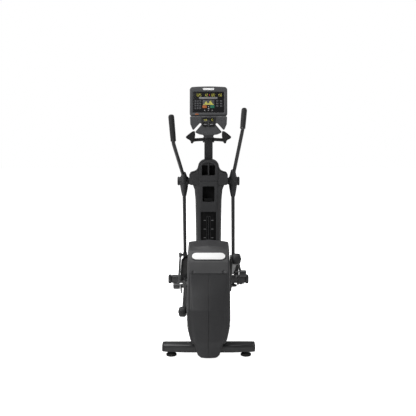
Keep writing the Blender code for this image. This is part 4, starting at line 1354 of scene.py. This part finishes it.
# ------------------------------------------------------------------ column
@dataclass
class Column:
    """The upright column's covers, head with its twin trays, bottle pocket and incline scale."""

    tray: tuple[float, float, float, float] = (0.0060, 0.0500, 1.052, 1.128)
    window: tuple[float, float, float] = (0.0485, 0.843, 0.968)
    face_points: int = 120
    bib_split: float = 1.0070
    ticks: tuple[float, ...] = (0.561, 0.630, 0.699)

    def build(self) -> None:
        """Builds and dresses the column."""
        refined("column_rear_cover", CHARCOAL, "frame", 0.0012, 2, dissolve=False)
        refined("column_front_cover", CHARCOAL, "frame", 0.0020)
        refined("column_head", CHARCOAL, "frame", 0.0035)
        self.head_face()
        self.front_relief()
        refined("handle_pivot_axle", STEEL, "frame", 0.0010)
        self.bib()
        self.trays()
        self.pocket()
        self.scale()
        LOG.info("column done")

    def head_face(self) -> None:
        """Moulds the head's rounded face, flush with the column, around both trays."""
        side = [(0.0, 1.1685), (0.030, 1.1660), (0.056, 1.1570), (0.0730, 1.1405), (0.0812, 1.1180),
                (0.0868, 1.0970), (0.0990, 1.0805), (0.1200, 1.0708), (0.1400, 1.0670), (0.1480, 1.0600),
                (0.1490, 1.0200), (0.1480, 0.9850), (0.1410, 0.9775), (0.1265, 0.9750)]
        smooth_side = [(p.x, p.y) for p in curve_through([(x, z, 0.0) for x, z in side], 6)]
        outer = even_loop(smooth_side + [(-x, z) for x, z in reversed(smooth_side)], self.face_points)
        bm = framed(outer, self.tray_window(), 0.1762, 0.1915, 0.0075, 5, 0.0010)
        piece_from(bm, "head_face", CHARCOAL, "frame", sharp=60.0)

    def front_relief(self) -> None:
        """Adds the front cover's raised middle panel with its screws."""
        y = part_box("column_front_cover")[1][1]
        outline = rounded_outline(0.058, 0.530, 0.935, 0.014)
        piece_from(plated(outline, y - 0.0010, y + 0.0035, "Y", 0.0018), "front_panel", CHARCOAL, "frame", sharp=50.0)
        screws = bmesh.new()
        for z in (0.560, 0.905):
            merged(moved(turned_z([(0.0, 0.0), (0.0050, 0.0), (0.0050, 0.0012), (0.0034, 0.0026), (0.0015, 0.0028),
                                   (0.0013, 0.0014), (0.0, 0.0014)], 0, 0, 20),
                         Matrix.Translation((0, y + 0.0030, z)) @ Matrix.Rotation(-math.pi / 2, 4, "X")), screws)
        piece_from(screws, "front_screws", DARK_STEEL, "frame")

    def tray_window(self) -> list[tuple[float, float]]:
        """The arched window around both trays.

        Returns:
            Its (x, z) points, evenly spaced.
        """
        half, foot = self.tray[1] + 0.0015, self.tray[2] - 0.0015
        window = [(half, foot)] + arc(0, self.tray[3] - 0.052, 0.073, 45, 135, 16) + [(-half, foot)]
        return even_loop(window, self.face_points)

    def bib(self) -> None:
        """Adds the raised middle panel: an upper half around the trays and a lower one around the pocket."""
        outer = [(0.0715, self.bib_split), (0.0745, 1.095)] + arc(0, 1.0900, 0.0745, 12, 168, 24)
        outer += [(-0.0745, 1.095), (-0.0715, self.bib_split)]
        outer = even_loop(outer, self.face_points)
        bm = framed(outer, self.tray_window(), 0.1705, 0.1790, 0.0030, 4, 0.0020)
        piece_from(bm, "upper_bib", CHARCOAL, "frame", sharp=60.0)
        half, z0, z1 = self.window
        top = self.bib_split - 0.0012
        outer = [(0.0712, top), (0.0660, 0.8100), (0.0645, 0.7880)] + arc(0.0480, 0.7850, 0.0160, 0, -80, 6)
        outer += [(0.0, 0.7672)] + arc(-0.0480, 0.7850, 0.0160, 260, 180, 6)
        outer += [(-0.0645, 0.7880), (-0.0660, 0.8100), (-0.0712, top)]
        inner = rounded_outline(half - 0.0025, z0 + 0.0025, z1 - 0.0015, 0.0085)
        bm = framed(even_loop(outer, self.face_points), even_loop(inner, self.face_points), 0.1700, 0.1790, 0.0030,
                    4, 0.0016)
        piece_from(bm, "lower_bib", CHARCOAL, "frame", sharp=60.0)

    def trays(self) -> None:
        """Puts a thin near-black cup with rounded inner corners into each of the head's two trays as painted shade, and
        adds the rib between them.
        """
        x0, x1, z0, z1 = self.tray
        for name, side in SIDES.items():
            bm = cup((side * (x0 + 0.0004) if side > 0 else -x1 + 0.0004, 0.1905, z0 + 0.0004),
                     (x1 - 0.0004 if side > 0 else -x0 - 0.0004, 0.2316, z1 - 0.0004), 0.0012, 0.006)
            # Painted shade: the trays are the head's charcoal moulding, and this near-black cup darkens their inside
            # where shade falls.
            piece_from(bm, name + "_tray_painted_shade", PLATE_BLACK_AND_CAVITY_SHADE, "frame", sharp=50.0)
        bm = boxed((-0.0040, 0.1745, 1.0500), (0.0040, 0.1920, 1.1440), 0.0018)
        piece_from(bm, "head_rib", CHARCOAL, "frame")

    def pocket(self) -> None:
        """Moulds the bottle pocket with its raised floor."""
        z0 = self.window[1]
        low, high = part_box("bottle_pocket")
        bm = cup((low[0], low[1] + 0.0006, low[2]), (high[0], high[1], high[2]), 0.0028, 0.010)
        ramp = [(-0.0335, z0 + 0.006), (0.0335, z0 + 0.006), (0.0335, z0 + 0.030), (-0.0335, z0 + 0.030)]
        plated(ramp, 0.1790, 0.1840, "Y", 0.0015, 3, bm)
        # The pocket is black moulding; its near-black here adds painted shade to the recess.
        piece_from(bm, "bottle_pocket_painted_shade", PLATE_BLACK_AND_CAVITY_SHADE, "frame", ["bottle_pocket"], 50.0)

    def scale(self) -> None:
        """Dresses the incline scale: its dark plate, slots with a black sheet of painted shade inside each, pointer and
        printed ticks.
        """
        low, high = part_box("incline_scale_panel")
        outline = [(low[0], low[2]), (high[0], low[2]), (high[0], high[2]), (low[0], high[2])]
        panel = plated(outline, low[1], high[1], "Y", 0.0008)
        piece_from(panel, "scale_plate", PLATE_BLACK_AND_CAVITY_SHADE, "frame", ["incline_scale_panel"])
        ticks = bmesh.new()
        for z in self.ticks:
            for side in (-1, 1):
                boxed((side * 0.0205, 0.1850, z - 0.0020), (side * 0.0380, 0.1863, z + 0.0020), 0.0, ticks)
        piece_from(ticks, "scale_ticks", LABEL_GREY, "frame")
        slots, slot_shades = bmesh.new(), bmesh.new()
        for x in (-0.0085, 0.0085):
            outer = [(u + x, v) for u, v in rounded_outline(0.0062, 0.5430, 0.7320, 0.0050)]
            inner = [(u + x, v) for u, v in rounded_outline(0.0044, 0.5450, 0.7300, 0.0036)]
            merged(framed(outer, inner, 0.1840, 0.1875, 0.0007, 2), slots)
            # Painted shade: a black sheet set in each slot's depth.
            plated(inner, 0.1852, 0.1866, "Y", into=slot_shades)
        piece_from(slots, "scale_slot_rims", TRIM_GREY, "frame", sharp=50.0)
        piece_from(slot_shades, "scale_slot_shadows", SLOT_SHADE, "frame")
        bm = plated([(-0.0040, 0.6270), (0.0040, 0.6270), (0.0040, 0.6330), (-0.0040, 0.6330)], 0.1860, 0.1905, "Y",
                    0.0010)
        piece_from(moved(bm, Matrix.Translation((0.0085, 0, 0))), "scale_pointer", LABEL_GREY, "frame")


# ------------------------------------------------------------------ console
class Segment(Enum):
    """Bars of a seven-bar digit: which end of the digit they lie at, in half-heights and half-widths."""

    TOP = (0.0, 1.0, True)
    MIDDLE = (0.0, 0.0, True)
    BOTTOM = (0.0, -1.0, True)
    UPPER_LEFT = (-1.0, 0.5, False)
    UPPER_RIGHT = (1.0, 0.5, False)
    LOWER_LEFT = (-1.0, -0.5, False)
    LOWER_RIGHT = (1.0, -0.5, False)


DIGITS: dict[str, tuple[Segment, ...]] = {
    "0": (Segment.TOP, Segment.BOTTOM, Segment.UPPER_LEFT, Segment.UPPER_RIGHT, Segment.LOWER_LEFT,
          Segment.LOWER_RIGHT),
    "1": (Segment.UPPER_RIGHT, Segment.LOWER_RIGHT),
    "2": (Segment.TOP, Segment.MIDDLE, Segment.BOTTOM, Segment.UPPER_RIGHT, Segment.LOWER_LEFT),
    "5": (Segment.TOP, Segment.MIDDLE, Segment.BOTTOM, Segment.UPPER_LEFT, Segment.LOWER_RIGHT),
    "8": tuple(Segment),
}


@dataclass
class Console:
    """The console: arched bezel, printed glass with its lamps and keys, wings, tray, hand bar and pods."""

    lean: float = math.radians(12.7)
    hinge: tuple[float, float] = (0.228, 1.5045)
    half: float = 0.145
    height: float = 0.227
    arch: float = 0.006
    bar_reach: float = 0.017
    glass: tuple[float, float, float] = (0.120, 0.0275, 0.1895)
    windows: tuple[tuple[float, float, str], ...] = (
        (-0.0933, -0.0540, "025"), (-0.0372, -0.0030, "12"), (0.0223, 0.0500, "80"), (0.0692, 0.1030, "150"))
    hills: tuple[int, ...] = (1, 2, 4, 5, 3, 2, 3, 5, 6, 4, 2, 1)
    grey_bar: tuple[float, float, float, float] = (-0.0722, 0.0692, 0.1335, 0.1490)

    @property
    def place(self) -> Matrix:
        """The console's own frame: at its foot, leaning back."""
        return Matrix.Translation((0, *self.hinge)) @ Matrix.Rotation(-self.lean, 4, "X")

    def build(self) -> None:
        """Builds and dresses the console."""
        self.bezel()
        self.screen()
        self.lamps()
        self.keys()
        refined("console_back", BLACK, "frame", 0.0015)
        self.back_details()
        self.wings()
        self.paddles()
        self.bar_and_pods()
        refined("mast", BLACK, "frame", 0.0015)
        LOG.info("console done")

    def put(self, bm: bmesh.types.BMesh, name: str, finish: Finish | Glow, replaces: Sequence[str] = (),
            sharp: float = 40.0) -> bpy.types.Object:
        """Places a shape made in the console's frame and makes it a piece.

        Args:
            bm: The shape.
            name: The piece's name.
            finish: Its finish.
            replaces: CAD nodes that it stands for.
            sharp: Angle past which an edge is sharp.

        Returns:
            The piece.
        """
        return piece_from(moved(bm, self.place), name, finish, "frame", replaces, sharp)

    def bezel(self) -> None:
        """Moulds the bezel with its arched top, around the glass."""
        steps = 6
        outer = [(x, z + self.arch * (1 - (x / self.half) ** 2) if z > self.height / 2 else z)
                 for x, z in self.top_filled(rounded_outline(self.half, 0.0, self.height, 0.022, steps))]
        half, low, high = self.glass
        inner = self.top_filled(rounded_outline(half + 0.0006, low - 0.0006, high + 0.0006, 0.0060, steps))
        bm = framed(outer, inner, 0.0, 0.0222, 0.0035, 4)
        self.put(bm, "console_surround", TRIM_GREY, ["console_bezel"])
        lip = [(-0.133, 0.0185), (0.133, 0.0185), (0.130, 0.0060), (-0.130, 0.0060)]
        self.put(plated(lip, -0.0035, 0.004, "Y", 0.0020), "console_lip", TRIM_GREY)
        label = rounded_outline(0.0425, 0.2035, 0.2190, 0.0035)
        self.put(plated(label, -0.0009, 0.002, "Y", 0.0004), "console_label", BADGE)
        tag = [(x - 0.0894, z) for x, z in rounded_outline(0.0132, 0.0090, 0.0175, 0.0010)]
        self.put(plated(tag, -0.0043, -0.0028, "Y", 0.0003), "console_tag", ORANGE)

    @staticmethod
    def top_filled(outline: list[tuple[float, float]], steps: int = 12) -> list[tuple[float, float]]:
        """Splits an outline's top run, so that it can arch: the gap between its last and first points."""
        (x0, z0), (x1, z1) = outline[-1], outline[0]
        return outline + [(x0 + (x1 - x0) * i / steps, z0 + (z1 - z0) * i / steps) for i in range(1, steps)]

    def screen(self) -> None:
        """Lays the printed glass, with the grey bar and the middle display's well."""
        half, low, high = self.glass
        outline = rounded_outline(half, low, high, 0.0056)
        self.put(plated(outline, 0.0022, 0.0070, "Y", 0.0008), "console_overlay", OVERLAY, ["console_glass"])
        x0, x1, z0, z1 = self.grey_bar
        bar = plated([(x0, z0), (x1, z0), (x1, z1), (x0, z1)], 0.0017, 0.0030, "Y", 0.0002)
        self.put(bar, "console_bar", LABEL_GREY)
        well = rounded_outline(0.0450, 0.0850, 0.1260, 0.0020)
        self.put(plated(well, 0.0017, 0.0030, "Y", 0.0002), "console_display", SCREEN)

    def digit(self, bm: bmesh.types.BMesh, char: str, x: float, z: float, width: float, height: float,
              y: float) -> None:
        """Adds one seven-bar digit.

        Args:
            bm: The bmesh that it goes in.
            char: The digit.
            x: Its middle's x.
            z: Its middle's z.
            width: Its width between its upright bars.
            height: Its height between its top and bottom bars.
            y: The y of its face.
        """
        bar = 0.17 * width
        for u, v, flat in (s.value for s in DIGITS[char]):
            cx, cz = x + u * width / 2, z + v * height / 2
            reach = width * 0.42 if flat else bar / 2
            rise = bar / 2 if flat else height * 0.21
            boxed((cx - reach, y, cz - rise), (cx + reach, y + 0.0008, cz + rise), 0.0, bm)

    def lamps(self) -> None:
        """Lights the four windows' digits, the red lamp and the hill profile."""
        panes, digits = bmesh.new(), bmesh.new()
        for x0, x1, shown in self.windows:
            boxed((x0, 0.0018, 0.1515), (x1, 0.0030, 0.1772), 0.0, panes)
            step = (x1 - x0) / len(shown)
            for i, char in enumerate(shown):
                self.digit(digits, char, x0 + step * (i + 0.5), 0.1644, step * 0.60, 0.0185, 0.0013)
        self.put(panes, "lamp_windows", OVERLAY)
        self.put(digits, "lamp_digits", AMBER)
        self.put(plated([(u + 0.0072, v + 0.1640) for u, v in arc(0, 0, 0.0038, 0, 345, 15)], 0.0014, 0.003, "Y"),
                 "red_lamp", RED)
        hill = bmesh.new()
        for i, count in enumerate(self.hills):
            for k in range(count):
                x = -0.0375 + i * 0.0068
                z = 0.0905 + k * 0.0055
                boxed((x - 0.0024, 0.0013, z - 0.0020), (x + 0.0024, 0.0020, z + 0.0020), 0.0, hill)
        self.put(hill, "hill_profile", AMBER)

    def keys(self) -> None:
        """Adds the membrane's raised keys."""
        dots = bmesh.new()
        for x in (-0.1006, -0.0820, -0.0633):
            for z in (0.1175, 0.0985, 0.0800, 0.0610):
                merged(plated([(u + x, v + z) for u, v in rounded_outline(0.0068, -0.0062, 0.0062, 0.0030, 3)],
                              0.0012, 0.0030, "Y", 0.0004, 2), dots)
        for x in (0.0685, 0.0968):
            for z in (0.1175, 0.0980, 0.0785):
                merged(plated([(u + x, v + z) for u, v in rounded_outline(0.0085, -0.0058, 0.0058, 0.0030, 3)],
                              0.0012, 0.0030, "Y", 0.0004, 2), dots)
        self.put(dots, "keypad", TRIM_GREY)
        for name, x0, x1, finish in (("orange_key", -0.0470, -0.0134, ORANGE), ("green_key", 0.0134, 0.0454, GREEN)):
            middle, half = (x0 + x1) / 2, (x1 - x0) / 2
            outline = [(u + middle, v) for u, v in rounded_outline(half, 0.0625, 0.0838, 0.0040)]
            self.put(plated(outline, 0.0010, 0.0030, "Y", 0.0006), name, finish)
        arrows = bmesh.new()
        up = [(-0.0052, -0.0034), (0.0052, -0.0034), (0.0, 0.0042)]
        turns = ((0.0, 0.0748, 0), (0.0, 0.0430, 180), (-0.0300, 0.0435, 90), (0.0290, 0.0435, -90))
        for x, z, turn in turns:
            c, s = math.cos(math.radians(turn)), math.sin(math.radians(turn))
            outline = [(x + u * c - v * s, z + u * s + v * c) for u, v in up]
            merged(plated(outline, 0.0012, 0.0030, "Y"), arrows)
        merged(plated(rounded_outline(0.0056, 0.0550, 0.0630, 0.0035, 3), 0.0012, 0.0030, "Y"), arrows)
        self.put(arrows, "arrow_keys", WHITE)

    def back_details(self) -> None:
        """Adds the back's vent louvres, raised bracket plate and screws."""
        louvres = bmesh.new()
        for i in range(9):
            z = 0.128 + i * 0.0085
            for x in (-0.075, 0.075):
                boxed((x - 0.030, 0.0612, z - 0.0018), (x + 0.030, 0.0634, z + 0.0018), 0.0008, louvres, 2)
        self.put(louvres, "back_louvres", BLACK)
        plate = rounded_outline(0.048, 0.012, 0.105, 0.010)
        self.put(plated(plate, 0.0605, 0.0665, "Y", 0.0018), "back_plate", CHARCOAL, sharp=50.0)
        screws = bmesh.new()
        for x in (-0.118, 0.118):
            for z in (0.026, 0.200):
                merged(moved(turned_z([(0.0, 0.0), (0.0045, 0.0), (0.0045, 0.0012), (0.0032, 0.0022), (0.0014, 0.0024),
                                       (0.0012, 0.0012), (0.0, 0.0012)], 0, 0, 20),
                             Matrix.Translation((x, 0.0612, z)) @ Matrix.Rotation(-math.pi / 2, 4, "X")), screws)
        self.put(screws, "back_screws", DARK_STEEL)

    def wings(self) -> None:
        """Moulds the wings and tray, with the dark centre section and its two small displays."""
        refined("console_lower_panel", TRIM_GREY, "frame", 0.0020)
        centre = [(-0.0570, 1.4960), (0.0570, 1.4960), (0.0520, 1.4460), (0.0470, 1.4300), (0.0400, 1.4240),
                  (-0.0400, 1.4240), (-0.0470, 1.4300), (-0.0520, 1.4460)]
        inner = [(-0.0430, 1.4870), (0.0430, 1.4870), (0.0425, 1.4600), (0.0415, 1.4400), (0.0390, 1.4290),
                 (-0.0390, 1.4290), (-0.0415, 1.4400), (-0.0425, 1.4600)]
        piece_from(framed(centre, inner, 0.1962, 0.2010, 0.0014), "tray_frame", BLACK, "frame", sharp=50.0)
        shelf = [(-0.0440, 1.4880), (0.0440, 1.4880), (0.0440, 1.4590), (-0.0440, 1.4590)]
        piece_from(plated(shelf, 0.1985, 0.2015, "Y", 0.0008), "small_display_plate", OVERLAY, "frame")
        digits = bmesh.new()
        for x, shown in ((-0.0235, "58"), (0.0235, "10")):
            for i, char in enumerate(shown):
                self.digit(digits, char, x - 0.0065 + i * 0.0130, 1.4738, 0.0075, 0.0130, 0.1979)
        piece_from(digits, "small_display_digits", AMBER, "frame")
        foot = [(-0.0400, 1.3610), (0.0400, 1.3610), (0.0345, 1.3378), (-0.0345, 1.3378)]
        piece_from(plated(foot, 0.1975, 0.2030, "Y", 0.0015), "tray_foot", CHARCOAL, "frame")

    def paddles(self) -> None:
        """Moulds the two rocking paddles, each with a finger dip."""
        for name, side in SIDES.items():
            low, high = (Vector(v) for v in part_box(name + "_console_paddle"))
            bm = boxed(low, high, 0.0022, None, 4)
            dip = [v for v in bm.verts if v.co.z > high.z - 0.0005]
            bmesh.ops.translate(bm, vec=(0, 0, -0.0006), verts=dip)
            piece_from(bm, name + "_paddle_key", LABEL_GREY, name + "_paddle", [name + "_console_paddle"])

    def bar_and_pods(self) -> None:
        """Builds the fixed hand bar and its two winged pods."""
        low, high = (Vector(v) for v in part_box("hand_bar"))
        middle, r = (low + high) / 2, (high.z - low.z) / 2
        drop = Vector((0, 0, 0.0045))
        stops = (low.x - self.bar_reach, low.x, 0.0, high.x, high.x + self.bar_reach)
        ends = [Vector((x, middle.y, middle.z)) for x in stops]
        route = curve_through([ends[0] - drop, ends[1], ends[2] + drop, ends[3], ends[4] - drop], 8)
        bm = swept(route, [r] * len(route), 48)
        piece_from(bm, "hand_bar_tube", PAINT, "frame", ["hand_bar"])
        collars = bmesh.new()
        for side in (-1, 1):
            turned_x([(side * x, rr) for x, rr in ((0.0330, r), (0.0330, r + 0.006), (0.0345, r + 0.0075),
                                                   (0.0430, r + 0.0075), (0.0445, r + 0.006), (0.0445, r))],
                     middle.y, middle.z, 48, collars)
        piece_from(collars, "hand_bar_collars", BLACK, "frame")
        pod = [(0.1190, 1.3890), (0.1400, 1.3760), (0.1600, 1.3600), (0.1760, 1.3461), (0.1710, 1.3370),
               (0.1639, 1.3309), (0.1480, 1.3235), (0.1390, 1.3160), (0.1360, 1.3060), (0.1345, 1.2955),
               (0.1190, 1.2955), (0.1140, 1.3080), (0.1100, 1.3196), (0.1060, 1.3370), (0.1034, 1.3537),
               (0.1050, 1.3870)]
        for name, side in SIDES.items():
            y0, y1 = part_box(name + "_fixed_grip")[0][1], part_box(name + "_fixed_grip")[1][1]
            bm = plated([(side * x, z) for x, z in pod], y0, y1, "Y", 0.0070, 5)
            piece_from(bm, name + "_hand_pod", FOAM, "frame", [name + "_fixed_grip"], 60.0)


# ------------------------------------------------------------------ stage
@dataclass
class Studio:
    """A plain pale floor and backdrop, soft lights and the camera."""

    camera_place: Point = (-0.004, -5.025, 1.517)
    camera_tilt: float = math.radians(82.12)
    lens: float = 58.55
    white: tuple[float, float, float] = (1.0, 1.0, 1.0)
    sky_light: float = 0.13
    key_power: float = 190.0
    fill_power: float = 22.0
    top_power: float = 130.0
    back_power: float = 120.0

    def build(self) -> None:
        """Lays the floor and sets the lights and the camera."""
        self.floor()
        self.light("key", (-3.2, -3.4, 4.2), (0, -0.2, 0.8), 2.6, self.key_power)
        self.light("fill", (3.4, -3.0, 2.2), (0, -0.2, 0.9), 3.0, self.fill_power)
        self.light("overhead", (-1.0, 0.2, 4.6), (0, 0, 0.8), 3.2, self.top_power)
        self.light("far_left", (-3.6, 3.2, 2.8), (0, 0, 0.8), 3.0, self.back_power)
        self.light("far_right", (3.8, 2.6, 2.4), (0, 0, 0.8), 3.0, self.back_power * 0.7)
        self.light("low_front", (-0.8, -5.2, 0.7), (0, -0.5, 0.5), 2.2, self.fill_power * 0.5)
        world = bpy.data.worlds.new("studio")
        world.use_nodes = True
        tree = world.node_tree
        path = tree.nodes.new("ShaderNodeLightPath")
        strength = remap(tree, path.outputs["Is Camera Ray"], 0.0, 1.0, self.sky_light, 1.0)
        sky = tree.nodes["Background"]
        sky.inputs["Color"].default_value = (*self.white, 1.0)
        tree.links.new(strength, sky.inputs["Strength"])
        bpy.context.scene.world = world
        bpy.context.scene.view_settings.view_transform = "Standard"
        camera = bpy.data.cameras.new("camera")
        camera.lens, camera.sensor_width, camera.clip_end = self.lens, 36.0, 60.0
        holder = bpy.data.objects.new("camera", camera)
        holder.location, holder.rotation_euler = self.camera_place, (self.camera_tilt, 0, 0)
        bpy.context.scene.collection.objects.link(holder)
        bpy.context.scene.camera = holder
        LOG.info("studio done")

    def floor(self) -> None:
        """Lays a wide white floor that catches only a faint shade."""
        bm = bmesh.new()
        bmesh.ops.create_grid(bm, x_segments=2, y_segments=2, size=14.0)
        mesh = bpy.data.meshes.new("floor")
        moved(bm, Matrix.Translation((0, 0, -0.0005))).to_mesh(mesh)
        bm.free()
        made = bpy.data.materials.new("pale_floor")
        made.use_nodes = True
        shader = made.node_tree.nodes["Principled BSDF"]
        shader.inputs["Base Color"].default_value = (0.9, 0.9, 0.9, 1.0)
        shader.inputs["Roughness"].default_value = 0.9
        shader.inputs["Emission Color"].default_value = (*self.white, 1.0)
        seen = made.node_tree.nodes.new("ShaderNodeLightPath").outputs["Is Camera Ray"]
        glow = remap(made.node_tree, seen, 0.0, 1.0, 0.05, 0.95)
        made.node_tree.links.new(glow, shader.inputs["Emission Strength"])
        mesh.materials.append(made)
        floor = bpy.data.objects.new("floor", mesh)
        bpy.context.scene.collection.objects.link(floor)

    @staticmethod
    def light(name: str, place: Point, aim: Point, size: float, power: float) -> None:
        """Adds a soft square light that points at a place.

        Args:
            name: Its name.
            place: Where it stands.
            aim: What it points at.
            size: Its side, in metres.
            power: Its power, in watts.
        """
        lamp = bpy.data.lights.new(name, "AREA")
        lamp.size, lamp.energy = size, power
        holder = bpy.data.objects.new(name, lamp)
        holder.location = place
        holder.rotation_euler = (Vector(aim) - Vector(place)).to_track_quat("-Z", "Y").to_euler()
        bpy.context.scene.collection.objects.link(holder)


def main() -> None:
    """Builds every sub-assembly in order."""
    logging.basicConfig(level=logging.INFO, format="%(name)s: %(message)s")
    Studio().build()
    Base().build()
    RearShroud().build()
    Drive().build()
    PedalArm("left", -1, math.radians(15.6)).build()
    PedalArm("right", 1, math.radians(-23.0)).build()
    Handlebar("left", -1, math.radians(12.5)).build()
    Handlebar("right", 1, math.radians(-12.5)).build()
    Column().build()
    Console().build()


if __name__ == "__main__":
    main()
